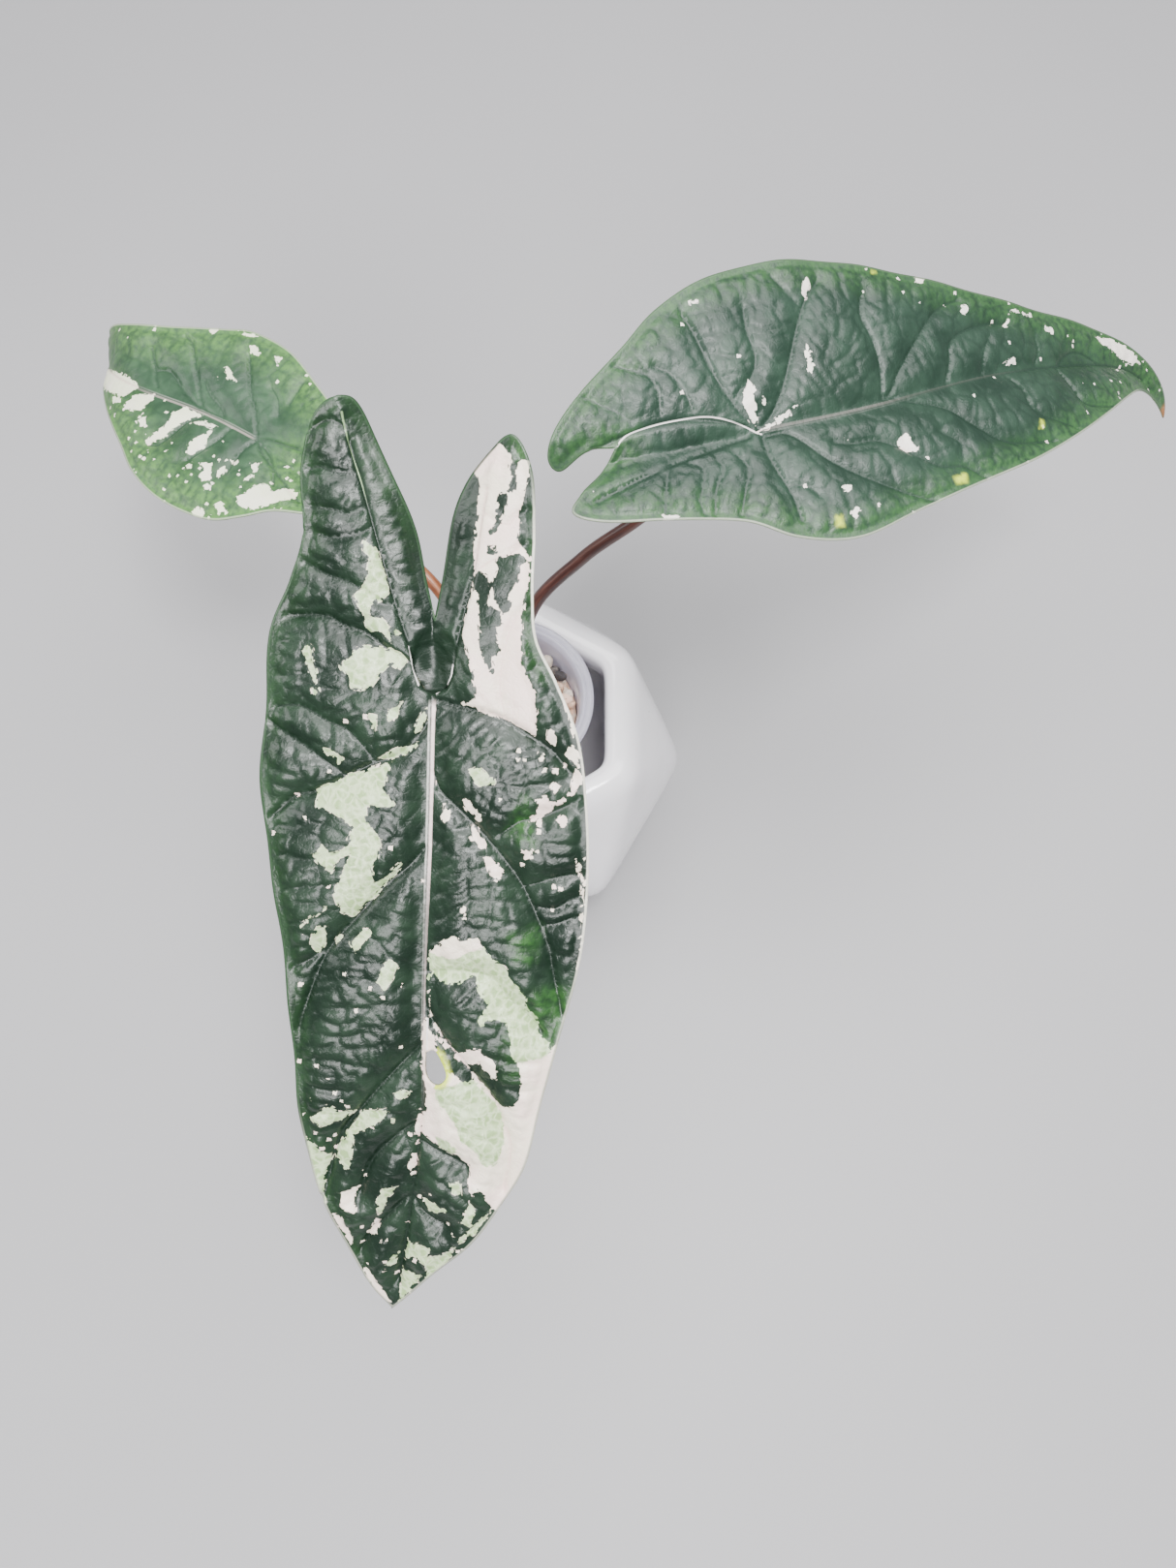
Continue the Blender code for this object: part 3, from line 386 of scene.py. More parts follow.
# Its shallower side veins
RIGHT_TWIGS = (
    ((34, 26), (41, 22), (46, 19)),
    ((0, 90), (7, 94), (11, 98)),
    ((-1, 117), (4, 121), (9, 121)),
    ((11, -19), (17, -20), (23, -23), (26, -27)),
    ((12, -29), (18, -28), (23, -29), (26, -33), (29, -39)),
    ((14, -40), (17, -44), (21, -49), (23, -52)),
    ((9, -6), (13, -3), (15, 1), (21, 5), (28, 5), (32, 5), (38, 6)),
    ((-19, 3), (-21, 9), (-25, 12)),
    ((-1, -17), (-7, -15), (-10, -15), (-15, -19), (-23, -22)),
    ((-3, -27), (-7, -21), (-12, -22), (-17, -25), (-22, -25)),
    ((-2, -30), (-11, -34), (-19, -37)),
    ((-4, -10), (-11, -7), (-17, -10), (-25, -14)),
    ((-27, 63), (-21, 65), (-16, 60)),
    ((-3, 100), (-9, 103), (-18, 103), (-28, 119)),
)
# Its cream patches
RIGHT_PALE = (
    ((44, 32), (40, 32), (37, 29), (39, 28), (43, 30)),
    ((24, 23), (22, 24), (18, 23), (15, 24), (13, 22), (15, 21), (19, 22)),
    ((16, 1), (13, 2), (9, 1), (4, 1), (1, 0), (5, -2), (10, -3), (13, -1)),
    ((10, 4), (9, 5), (7, 5), (8, 4)),
    ((0, 0), (2, 6), (4, 11), (5, 15), (2, 11), (0, 4)),
    ((43, -11), (43, -9), (43, -7), (42, -8), (42, -10)),
    ((-19, -38), (-20, -32), (-21, -34), (-21, -38)),
    ((-24, 20), (-24, 22), (-25, 22), (-26, 20)),
    ((43, 56), (43, 59), (41, 57)),
    ((37, 76), (36, 81), (34, 78), (34, 75)),
    ((24, 91), (23, 94), (20, 91), (21, 89)),
    ((19, 112), (19, 117), (18, 116), (18, 111)),
    ((18, 118), (17, 123), (16, 122), (17, 118)),
    ((15, 108), (16, 111), (14, 109), (14, 107)),
    ((12, 127), (11, 131), (9, 130), (10, 127)),
    ((2, 101), (3, 107), (1, 108), (1, 102)),
    ((8, 155), (8, 162), (7, 172), (5, 181), (2, 176), (2, 168), (4, 162), (6, 156)),
    ((-15, 43), (-13, 47), (-16, 48), (-20, 50), (-18, 45)),
    ((-25, 19), (-24, 23), (-26, 21), (-26, 20)),
    ((-33, 19), (-31, 22), (-33, 23), (-35, 20)),
)
# Its yellow spots
RIGHT_YELLOW = (
    ((-32, 14), (-33, 17), (-37, 16), (-36, 13)),
    ((-31, 56), (-31, 62), (-35, 61), (-34, 56)),
    ((-21, 102), (-22, 104), (-25, 102), (-25, 99)),
    ((42, 59), (41, 62), (40, 61), (40, 58)),
)
# Left leaf: its lateral veins
LEFT_LATERALS = (
    ((-1, 1), (-7, 7), (-13, 15), (-23, 25)),
    ((2, 17), (2, 25), (-3, 32), (-9, 39), (-15, 46), (-16, 50)),
    ((5, 46), (1, 51), (-6, 59)),
    ((3, 26), (1, 37), (-2, 46), (0, 52)),
    ((1, 0), (6, 1), (13, 0), (17, -1)),
    ((0, 0), (1, -7), (4, -12), (10, -18)),
    ((6, 23), (11, 26), (17, 27), (23, 29), (25, 33)),
    ((3, 11), (8, 11), (16, 13), (22, 15)),
)
# Its shallower side veins
LEFT_TWIGS = (
    ((-11, -1), (-16, 4), (-18, 9)),
    ((-17, -1), (-22, 0), (-27, 1)),
    ((1, 16), (-1, 19), (-3, 27), (-6, 32)),
    ((0, 0), (-3, -6), (-6, -15)),
)
# Its cream patches
LEFT_PALE = (
    ((8, 87), (7, 64), (8, 52), (11, 54), (14, 55), (15, 61), (14, 96)),
    ((16, 61), (15, 57), (17, 55), (18, 59)),
    ((12, 52), (8, 45), (10, 43), (14, 43), (16, 43), (17, 46), (19, 51), (16, 52), (14, 51)),
    ((25, 33), (21, 29), (15, 28), (9, 26), (5, 23), (6, 31), (9, 32), (17, 31), (24, 34)),
    ((9, 24), (7, 22), (5, 15), (7, 16), (9, 20)),
    ((20, 17), (17, 18), (12, 17), (8, 15), (11, 14), (13, 13), (16, 14), (19, 15)),
    ((19, 42), (17, 39), (19, 37), (21, 39)),
    ((20, 9), (17, 5), (20, 3), (22, 1), (25, 3), (24, 6), (21, 6)),
    ((18, 2), (15, 1), (18, -1), (21, 0)),
    ((12, 1), (10, -1), (12, -2), (13, -1)),
    ((9, -6), (6, -8), (10, -10), (11, -9)),
    ((16, -9), (12, -10), (12, -11), (15, -10)),
    ((22, -11), (19, -13), (14, -14), (11, -15), (12, -20), (7, -23), (6, -27), (8, -28), (15, -24),
     (22, -19), (23, -15)),
    ((29, -7), (27, -8), (27, -12), (29, -12), (30, -10)),
    ((36, -1), (33, -2), (33, -6), (36, -6), (37, -3)),
    ((39, 8), (39, 3), (38, -3), (39, -1)),
    ((-26, 27), (-27, 26), (-26, 22), (-24, 22), (-24, 25)),
    ((-28, 17), (-29, 14), (-26, 13), (-27, 15)),
    ((-23, 45), (-25, 41), (-21, 41)),
    ((-28, 35), (-31, 27), (-28, 31)),
    ((-14, 28), (-14, 25), (-12, 21), (-11, 24)),
    ((24, 13), (21, 12), (23, 10), (25, 12)),
    ((25, 2), (24, -1), (26, -2), (27, 0)),
)

# Each leaf's bend is given by stations along its spine: distance from the petiole's top,
# slope below the horizontal, heading and roll. A margin runs from the tip to the sinus or back.
FRONT_LEAF = {
    "name": "front_blade",
    "attach": (-10.0, -56.0, 254.0),
    "stations": ((-90, 32, -97, 0), (-20, 28, -97, 0), (0, 27, -97, 0), (80, 32, -95, 0),
                 (150, 38, -97, 0), (200, 46, -101, 0)),
    "turn": 0.0,
    "rise": 0.10,
    "droop": 0.0028,
    "trough": {"steep": 0.70, "spread": 0.27, "base": 2.0, "lean": 0.12},
    "right_margin": ((-1, 182), (8, 169), (19, 155), (27, 141), (33, 127), (36, 109), (39, 91),
                     (43, 70), (44, 48), (42, 26), (38, 7), (31, -7), (25, -17), (23, -29),
                     (22, -43), (20, -57), (15, -65), (10, -62), (4, -53), (0, -38), (-1, -19)),
    "left_margin": ((-1, -19), (-4, -25), (-8, -39), (-15, -52), (-23, -67), (-28, -70), (-34, -65),
                    (-37, -52), (-35, -37), (-38, -25), (-42, -12), (-42, 8), (-42, 28), (-38, 50),
                    (-34, 73), (-31, 100), (-29, 118), (-25, 136), (-17, 156), (-8, 172), (-1, 182)),
    "midrib": ((0, 0), (2, 38), (3, 84), (4, 112), (2, 146), (0, 172)),
    "midrib_show": 1.0,
    "costae": (((-1, -3), (-3, -6), (-9, -18), (-16, -36), (-25, -60)),
               ((1, -3), (3, -5), (7, -30), (9, -52))),
    "hole": ((4, 96), (7, 95), (10.5, 101), (8, 104.5), (4.5, 103)),
    "laterals": FRONT_LATERALS,
    "twigs": FRONT_TWIGS,
    "pale": FRONT_PINK + FRONT_MINT + (
        FRONT_LARGE, ((3.0, 112), (4.4, 116), (3.2, 125), (2.2, 120)),
        ((2.4, 126), (3.5, 130), (2.4, 136), (1.5, 131))),
    "islands": FRONT_ISLANDS,
    "threads": (((-6.4, -12), (-5.4, -7), (-3.6, -2.4)), ((2.4, -8.5), (2.0, -4.5), (0.8, -0.8)),
                ((-27.5, -66), (-25, -59), (-21, -50), (-16, -36)), ((4.3, 86), (4.6, 95))),
    "hollow": ((-5.6, -14), (-4.9, -6), (-3.2, -1.6), (0, -0.3), (3.6, -1.6), (5.0, -6), (4.6, -13),
               (1, -20), (-2, -20)),
    "mint": FRONT_MINT + FRONT_MINT_TINT,
    "smooth": (FRONT_PINK[0],),
    "bright": FRONT_BRIGHT,
    "yellow": (),
    "spacing": 0.74,
    "quilt": 2.5,
    "groove": 1.15,
    "ladder": 0.95,
    "net_size": 6.4,
    "net_depth": 0.30,
    "pitch": 6.4,
    "slant": 0.75,
    "wrinkle": 0.09,
    "edge_wave": 0.55,
}
RIGHT_LEAF = {
    "name": "right_blade",
    "attach": (82.0, 50.0, 214.0),
    "stations": ((-90, -2, 18, 16), (-10, 4, 18, 16), (0, 6, 19, 16), (25, 9, 21, 16),
                 (55, 14, 27, 15), (90, 19, 29, 14), (120, 23, 27, 12), (150, 27, 24, 10),
                 (172, 34, 8, 8), (190, 46, -14, 4), (205, 64, -30, 0)),
    "turn": 0.0,
    "rise": 0.20,
    "droop": 0.0030,
    "trough": {"steep": 0.50, "spread": 0.08, "base": 3.2, "lean": -0.05},
    "right_margin": ((4.6, 211), (5.6, 205), (7.2, 190), (8, 172), (13, 147), (20, 120), (29, 95),
                     (38, 72), (45, 52), (50, 30), (51, 11), (49, -6), (43, -22), (34, -35),
                     (24, -51), (15, -62), (8, -66), (4, -63), (7, -54), (6, -45)),
    "left_margin": ((6, -45), (0, -51), (-6, -60), (-11, -64), (-16, -56), (-21, -36), (-27, -14),
                    (-36, 1), (-41, 20), (-38, 42), (-36, 65), (-34, 95), (-28, 126), (-17, 160),
                    (-3, 189), (2.2, 204), (4.6, 211)),
    "midrib": ((0, 0), (-1, 40), (-1, 82), (-2, 120), (-2, 155), (1, 186)),
    "midrib_show": 0.10,
    "costae": (((1, -2), (3, -5), (9, -25), (7, -52)), ((-1, -3), (-1, -9), (-4, -32), (-9, -56))),
    "hole": (),
    "laterals": RIGHT_LATERALS,
    "twigs": RIGHT_TWIGS,
    "pale": RIGHT_PALE,
    "islands": (),
    "threads": (((-1, 1), (5, -8), (8, -16), (9, -26), (9, -34), (8, -41), (6, -45)),),
    "hollow": (),
    "mint": (),
    "smooth": (),
    "bright": (),
    "yellow": RIGHT_YELLOW,
    "spacing": 0.80,
    "quilt": 1.35,
    "groove": 0.80,
    "ladder": 0.60,
    "net_size": 7.6,
    "net_depth": 0.26,
    "pitch": 7.6,
    "slant": 0.6,
    "wrinkle": 0.09,
    "edge_wave": 0.30,
}
LEFT_LEAF = {
    "name": "left_blade",
    "attach": (-90.0, 82.0, 164.0),
    "stations": ((-90, 2, 180, -4), (0, 4, 180, -4), (28, 8, 182, -4), (46, 18, 183, -4),
                 (62, 42, 183, -2), (76, 74, 183, 0), (94, 92, 183, 0), (160, 100, 183, 0)),
    "turn": 40.0,
    "rise": 0.14,
    "droop": 0.0030,
    "trough": {"steep": 0.45, "spread": 0.20, "base": 2.0, "lean": 0.0},
    "right_margin": ((5, 120), (7, 106), (11, 90), (17, 74), (24, 57), (30, 44), (36, 32), (39, 18),
                     (38, 4), (34, -9), (26, -18), (18, -25), (12, -34), (7, -42), (3, -38), (0, -20)),
    "left_margin": ((0, -20), (-5, -36), (-12, -44), (-19, -36), (-25, -18), (-29, -4), (-33, 14),
                    (-31, 30), (-26, 39), (-21, 48), (-15, 60), (-11, 73), (-8, 88), (-3, 104),
                    (5, 120)),
    "midrib": ((0, 0), (3, 20), (8, 45), (9, 64), (7, 88), (5, 110)),
    "midrib_show": 0.30,
    "costae": (((1, -2), (3, -6), (9, -30)), ((-1, -2), (-3, -6), (-12, -34))),
    "hole": (),
    "laterals": LEFT_LATERALS,
    "twigs": LEFT_TWIGS,
    "pale": LEFT_PALE,
    "islands": (),
    "threads": (),
    "hollow": (),
    "mint": (),
    "smooth": (),
    "bright": (),
    "yellow": (),
    "spacing": 0.80,
    "quilt": 1.35,
    "groove": 1.0,
    "ladder": 0.36,
    "net_size": 6.4,
    "net_depth": 0.12,
    "pitch": 7.5,
    "slant": 0.7,
    "wrinkle": 0.05,
    "edge_wave": 0.12,
}
LEAVES = (FRONT_LEAF, RIGHT_LEAF, LEFT_LEAF)

PETIOLES = (
    {"name": "front_petiole", "leaf": FRONT_LEAF, "foot_angle": -90.0, "slot": "petiole_maroon",
     "route": ((-3.5, -8.0, 135.0), (-5.0, -23.0, 185.0), (-7.5, -43.0, 230.0))},
    {"name": "right_petiole", "leaf": RIGHT_LEAF, "foot_angle": 30.0, "slot": "petiole_maroon",
     "route": ((8.4, 25.0, 140.0), (27.0, 34.0, 163.0), (45.0, 38.0, 181.0), (68.0, 45.0, 202.0))},
    {"name": "left_petiole", "leaf": LEFT_LEAF, "foot_angle": 150.0, "slot": "petiole_orange",
     "route": ((-13.0, 18.0, 118.0), (-28.5, 39.0, 136.0), (-58.0, 61.0, 147.5),
               (-80.0, 75.5, 155.5))},
)


# Meshes
def add_piece(name, points, faces, material, nodes, slot):
    """Makes a piece from points in millimetres, which stands for some CAD nodes."""
    mesh = bpy.data.meshes.new(name)
    mesh.from_pydata([Vector(point) * MM for point in points], [], faces)
    mesh.validate()
    tidy = bmesh.new()
    tidy.from_mesh(mesh)
    bmesh.ops.recalc_face_normals(tidy, faces=tidy.faces)
    tidy.to_mesh(mesh)
    tidy.free()
    mesh.shade_smooth()
    mesh.materials.append(material)
    piece = bpy.data.objects.new(name, mesh)
    bpy.context.scene.collection.objects.link(piece)
    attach(piece, "root")
    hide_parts(*nodes)
    return piece


def set_values(mesh, name, values):
    """Stores one number for each point of a mesh."""
    mesh.attributes.new(name, "FLOAT", "POINT").data.foreach_set("value", values.astype(np.float32))


def set_vectors(mesh, name, vectors):
    """Stores one vector for each point of a mesh."""
    layer = mesh.attributes.new(name, "FLOAT_VECTOR", "POINT")
    layer.data.foreach_set("vector", vectors.astype(np.float32).ravel())


def loft(rings):
    """Points and faces of a closed solid through equal rings, capped by its first and last."""
    count = len(rings[0])
    points = [point for ring in rings for point in ring]
    faces = []
    for row in range(len(rings) - 1):
        for i in range(count):
            j = (i + 1) % count
            low, high = row * count, (row + 1) * count
            faces.append((low + i, low + j, high + j, high + i))
    for start, ring in ((0, rings[0]), ((len(rings) - 1) * count, rings[-1])):
        hub = len(points)
        points.append(tuple(np.mean(np.array(ring), axis=0)))
        faces.extend((start + i, start + (i + 1) % count, hub) for i in range(count))
    return points, faces


def by_cup(radius, bearing, height):
    """A point from its distance to the cup's axis, its bearing in radians and its height."""
    return (CUP_AXIS[0] + radius * math.cos(bearing), CUP_AXIS[1] + radius * math.sin(bearing), height)


def turned(profile, segments, axis):
    """A solid of revolution from (radius, height) pairs."""
    rings = []
    for radius, height in profile:
        rings.append([(axis[0] + radius * math.cos(2 * math.pi * k / segments),
                       axis[1] + radius * math.sin(2 * math.pi * k / segments), height)
                      for k in range(segments)])
    return loft(rings)


def smooth_curve(points, samples):
    """Evenly spaced samples on a Catmull-Rom curve through the given points."""
    knots = np.array(points, dtype=float)
    ends = np.vstack([2 * knots[0] - knots[1], knots, 2 * knots[-1] - knots[-2]])
    dense = []
    for k in range(len(knots) - 1):
        a, b, c, d = ends[k:k + 4]
        for t in np.linspace(0.0, 1.0, CURVE_DETAIL, endpoint=False):
            dense.append(0.5 * (2 * b + (c - a) * t + (2 * a - 5 * b + 4 * c - d) * t ** 2
                                + (3 * b - 3 * c + d - a) * t ** 3))
    dense.append(knots[-1])
    dense = np.array(dense)
    run = np.concatenate([[0.0], np.cumsum(np.linalg.norm(np.diff(dense, axis=0), axis=1))])
    wanted = np.linspace(0.0, run[-1], samples)
    return np.stack([np.interp(wanted, run, dense[:, i]) for i in range(dense.shape[1])], axis=1)


def fine_curve(points, step):
    """A smooth curve through the points, sampled about every step."""
    length = float(np.linalg.norm(np.diff(np.array(points, dtype=float), axis=0), axis=1).sum())
    return smooth_curve(points, max(3, round(length / step) + 1))


def ease(value, low, high):
    """A smooth step from 0 at low to 1 at high."""
    share = np.clip((value - low) / (high - low), 0.0, 1.0)
    return share * share * (3 - 2 * share)


def bell(value, width):
    """A hump of height 1 round 0."""
    return np.exp(-(value / width) ** 2)


def lumps(points, size, seed):
    """Smooth random values from -1 to 1 at points, with features of about the given size."""
    shift = Vector((seed * 13.7, seed * 7.1, seed * 3.3))
    return np.array([noise.noise(Vector(point) / size + shift) for point in points])


# Shader nodes
class Net:
    """A material with short ways to add and link its nodes."""

    def __init__(self, name):
        self.material = bpy.data.materials.new(name)
        self.material.use_nodes = True
        self.nodes = self.material.node_tree.nodes
        self.shader = self.nodes["Principled BSDF"]

    def put(self, socket, value):
        """Links a socket to another, or sets its value."""
        if isinstance(value, bpy.types.NodeSocket):
            self.material.node_tree.links.new(value, socket)
        elif isinstance(value, tuple) and len(value) == 3 and socket.type == "RGBA":
            socket.default_value = (*value, 1.0)
        else:
            socket.default_value = value

    def fill(self, node, inputs):
        """Puts named inputs on a node, with _ for each space in a name."""
        for name, value in inputs.items():
            self.put(node.inputs[name.replace("_", " ")], value)

    def add(self, kind, **inputs):
        """A new node of a kind, with some of its inputs."""
        node = self.nodes.new("ShaderNode" + kind)
        self.fill(node, inputs)
        return node

    def attribute(self, name, output="Fac"):
        """A value stored on the mesh."""
        node = self.add("Attribute")
        node.attribute_name = name
        return node.outputs[output]

    def vector_math(self, operation, *values):
        """The node of one sum on vectors."""
        node = self.add("VectorMath")
        node.operation = operation
        for socket, value in zip(node.inputs, values):
            self.put(socket, value)
        return node

    def place(self):
        """The object's own coordinates, in millimetres."""
        node = self.vector_math("SCALE", self.add("TexCoord").outputs["Object"])
        node.inputs["Scale"].default_value = 1 / MM
        return node.outputs[0]

    def height(self, place):
        """The upright part of a place."""
        return self.add("SeparateXYZ", Vector=place).outputs["Z"]

    def math(self, operation, a, b=0.0):
        """The result of one sum."""
        node = self.add("Math")
        node.operation = operation
        self.put(node.inputs[0], a)
        self.put(node.inputs[1], b)
        return node.outputs[0]

    def plus(self, a, b):
        """Two values added."""
        return self.math("ADD", a, b)

    def times(self, a, b):
        """Two values multiplied."""
        return self.math("MULTIPLY", a, b)

    def swing(self, value, reach):
        """A random value from 0 to 1, moved to lie round 0 and scaled."""
        return self.times(self.math("SUBTRACT", value, 0.5), reach)

    def step(self, value, low, high):
        """A smooth step from 0 at low to 1 at high."""
        node = self.add("MapRange", Value=value, From_Min=low, From_Max=high)
        node.interpolation_type = "SMOOTHSTEP"
        return node.outputs["Result"]

    def fade(self, value, low, high):
        """A smooth step from 1 at low to 0 at high."""
        return self.math("SUBTRACT", 1.0, self.step(value, low, high))

    def mix(self, share, a, b):
        """A colour between two others."""
        node = self.add("Mix")
        node.data_type = "RGBA"
        for index, value in ((0, share), (6, a), (7, b)):
            self.put(node.inputs[index], value)
        return node.outputs[2]

    def tint(self, share, strength, base, colour):
        """A base colour turned towards another, where the share is high and by its strength."""
        return self.mix(self.times(share, strength), base, colour)

    def noise(self, place, size, detail=3.0, roughness=0.55, output="Fac"):
        """Smooth random values round a half, with features of the given size."""
        node = self.add("TexNoise", Vector=place, Scale=1.0 / size, Detail=detail, Roughness=roughness)
        return node.outputs[output]

    def cells(self, place, size, metric="EUCLIDEAN"):
        """A cell pattern: distance to the cell's heart, and the cell's random value."""
        node = self.add("TexVoronoi", Vector=place, Scale=1.0 / size)
        node.distance = metric
        split = self.add("SeparateColor", Color=node.outputs["Color"])
        return node.outputs["Distance"], split.outputs[0]

    def border(self, place, size):
        """Distance to the nearest border of a cell pattern, in cells."""
        node = self.add("TexVoronoi", Vector=place, Scale=1.0 / size)
        node.feature = "DISTANCE_TO_EDGE"
        return node.outputs["Distance"]

    def warp(self, place, size, reach):
        """The place, shifted at random by up to about the reach."""
        shift = self.noise(place, size, 2.0, 0.5, "Color")
        return self.vector_math("MULTIPLY_ADD", shift, (2 * reach, 2 * reach, 0.0), place).outputs[0]

    def bump(self, height, depth, before=None):
        """Fine relief, as deep as given in millimetres."""
        node = self.add("Bump", Height=height, Strength=1.0, Distance=depth * MM)
        if before:
            self.put(node.inputs["Normal"], before)
        return node.outputs["Normal"]

    def finish(self, colour, roughness, **settings):
        """The material, with its shader's inputs set."""
        self.fill(self.shader, {"Base_Color": colour, "Roughness": roughness} | settings)
        return self.material


# Leaf colours
def torn_edge(net, place, fine):
    """Random steps, in millimetres, that give the patches torn outlines."""
    small = net.swing(net.cells(place, 1.35)[1], 0.9)
    large = net.swing(net.cells(place, 2.6)[1], 0.6)
    return net.plus(net.plus(small, large), net.swing(fine, 0.6))


def leaf_green(net, look, broad, fine):
    """The green: clouded, brighter in places, and darkened along the veins and folds as painted shade.
    """
    green = net.mix(net.step(broad, 0.35, 0.65), look["dark"], look["mid"])
    green = net.tint(net.attribute("bright"), net.step(fine, 0.2, 0.7), green, look["bright"])
    # Painted shade: the green darkens along the sunken veins, in their grooves.
    green = net.tint(net.fade(net.attribute("vein_mm"), 0.15, 0.9), 0.7, green, look["dark"])
    # Painted shade: the green darkens in the folds, the valleys between the cushions and the net of
    # small vein grooves.
    return net.tint(net.attribute("fold"), 0.75, green, look["dark"])


def paleness(net, place, broad, fine, torn):
    """Where a leaf is pale: in its patches and in its small frayed flecks."""
    heart, dot = net.cells(net.warp(place, 0.9, 0.55), 1.7, "CHEBYCHEV")
    chosen = net.math("GREATER_THAN", net.attribute("fleck"), dot)
    reach = net.plus(0.10, net.times(broad, 0.42))
    inside = net.math("LESS_THAN", net.plus(heart, net.swing(fine, 0.45)), reach)
    patch = net.step(net.plus(net.attribute("pale_mm"), torn), -0.10, 0.10)
    return net.math("MAXIMUM", patch, net.times(chosen, inside))


def pale_colour(net, look, broad, torn, netted):
    """The pale parts: cream to pink with blushing veins, or mint with a paler net."""
    minty = net.step(net.plus(net.attribute("mint_mm"), net.times(torn, 0.8)), -0.25, 0.25)
    mint = net.tint(netted, 0.85, MINT, MINT_VEIN)
    mint = net.tint(net.attribute("fold"), 0.7, mint, MINT_VEIN)
    cream = net.mix(net.step(broad, 0.40, 0.62), look["cream"], look["pink"])
    cream = net.tint(net.fade(net.attribute("vein_mm"), 0.1, 0.8), 0.42, cream, PINK_VEIN)
    return net.mix(minty, cream, mint)


def leaf_lines(net, look, colour):
    """The top's colour with the midrib, the pale threads, the rim and the brown hook added."""
    off = net.attribute("midrib_mm")
    crack = net.fade(net.math("ABSOLUTE", net.plus(off, -0.25)), 0.08, 0.30)
    midrib = net.mix(net.step(off, 0.2, 0.35), MIDRIB_PINK, MIDRIB_GREY)
    midrib = net.tint(crack, 0.8, midrib, look["dark"])
    stripe = net.fade(net.math("ABSOLUTE", off), 0.70, 0.98)
    colour = net.tint(stripe, net.attribute("midrib_band"), colour, midrib)
    thread = net.mix(net.attribute("thread_green"), THREAD_WHITE, THREAD_GREEN)
    colour = net.mix(net.fade(net.attribute("thread_mm"), 0.10, 0.34), colour, thread)
    rim = net.mix(net.attribute("pale_rim"), look["edge"], RIM_CREAM)
    colour = net.tint(net.fade(net.attribute("margin_mm"), 0.40, 0.80), 0.85, colour, rim)
    return net.mix(net.attribute("hook"), colour, HOOK_BROWN)


def leaf_material(leaf):
    """A waxy variegated blade: greens, jagged pale patches, veins, rim and underside."""
    look = LOOKS[leaf["name"]]
    net = Net(leaf["name"] + "_skin")
    place = net.attribute("leaf_mm", "Vector")
    broad = net.noise(place, 16.0)
    fine = net.noise(place, 2.2, 4.0)
    torn = torn_edge(net, place, fine)
    netted = net.fade(net.border(net.warp(place, 2.2, 1.3), 2.3), 0.0, 0.22)
    pale = paleness(net, place, broad, fine, torn)
    green = leaf_green(net, look, broad, fine)
    upper = net.mix(pale, green, pale_colour(net, look, broad, torn, netted))
    # Yellow spots, and painted light in yellow along the lit side of the hole's edge.
    yellow_and_lit = net.plus(net.attribute("yellow_and_lit_mm"), net.times(torn, 0.5))
    upper = leaf_lines(net, look, net.mix(net.step(yellow_and_lit, -1.1, 1.1), upper, YELLOW))
    under = net.tint(pale, 0.75, net.mix(netted, UNDER_GREEN, UNDER_VEIN), UNDER_PALE)
    under = net.mix(net.step(net.attribute("rib"), 0.15, 0.8), under, UNDER_RIB)
    top = net.attribute("top")

    hide = net.step(net.border(place, 1.7), 0.0, 0.22)
    relief = net.plus(net.times(hide, 0.7), net.noise(place, 0.55))
    normal = net.bump(fine, look["pore_depth"], net.bump(relief, look["pore_depth"]))
    rough = net.plus(look["roughness"], net.swing(broad, 0.2))
    rough = net.plus(rough, net.times(net.math("SUBTRACT", 1.0, top), 0.2))
    return net.finish(net.mix(top, under, upper), rough, Normal=normal, Specular_IOR_Level=0.34,
                      Coat_Weight=look["gloss"], Coat_Roughness=0.26)


# Leaf shapes
def leaf_frame(leaf):
    """Points, across vectors and normals along a leaf's spine, at short steps."""
    stations = np.array(leaf["stations"], dtype=float)
    along = np.arange(SPINE_START, SPINE_END + SPINE_STEP, SPINE_STEP)
    window = 2 * SPINE_BLUR + 1
    kernel = np.ones(window) / window

    def eased(column):
        values = np.radians(np.interp(along, stations[:, 0], stations[:, column]))
        return np.convolve(np.pad(values, SPINE_BLUR, mode="edge"), kernel, mode="valid")

    slope, heading, roll = eased(1), eased(2), eased(3)
    flat = np.cos(slope)
    tangent = np.stack([flat * np.cos(heading), flat * np.sin(heading), -np.sin(slope)], axis=1)
    level = np.stack([-np.sin(heading), np.cos(heading), 0 * heading], axis=1)
    upward = np.cross(tangent, level)
    across = level * np.cos(roll)[:, None] + upward * np.sin(roll)[:, None]
    normal = np.cross(tangent, across)
    steps = (tangent[1:] + tangent[:-1]) / 2 * SPINE_STEP
    spine = np.vstack([np.zeros(3), np.cumsum(steps, axis=0)])
    start = int(np.argmin(np.abs(along)))
    spine = spine - spine[start] + np.array(leaf["attach"])
    return along, spine, across, normal


def leaf_height(leaf, u, v):
    """How far the blade lies above its spine plane: a gull-wing section and the trough."""
    trough = leaf["trough"]
    height = leaf["rise"] * np.abs(u) - leaf["droop"] * u * u
    behind = np.maximum(-v, 0.0)
    half_width = trough["spread"] * behind + trough["base"] * np.minimum(behind / TROUGH_RUN_IN, 1.0)
    inside = np.maximum(half_width - np.abs(u - trough["lean"] * v), 0.0)
    return height - trough["steep"] * inside


def leaf_points(leaf, u, v):
    """World points of the blade's middle surface for leaf coordinates u across, v along."""
    along, spine, across, normal = leaf_frame(leaf)
    turn = math.radians(leaf["turn"])
    side = math.cos(turn) * u - math.sin(turn) * v
    ahead = math.sin(turn) * u + math.cos(turn) * v

    def at(table):
        return np.stack([np.interp(ahead, along, table[:, i]) for i in range(3)], axis=-1)

    return at(spine) + at(across) * side[:, None] + at(normal) * leaf_height(leaf, u, v)[:, None]


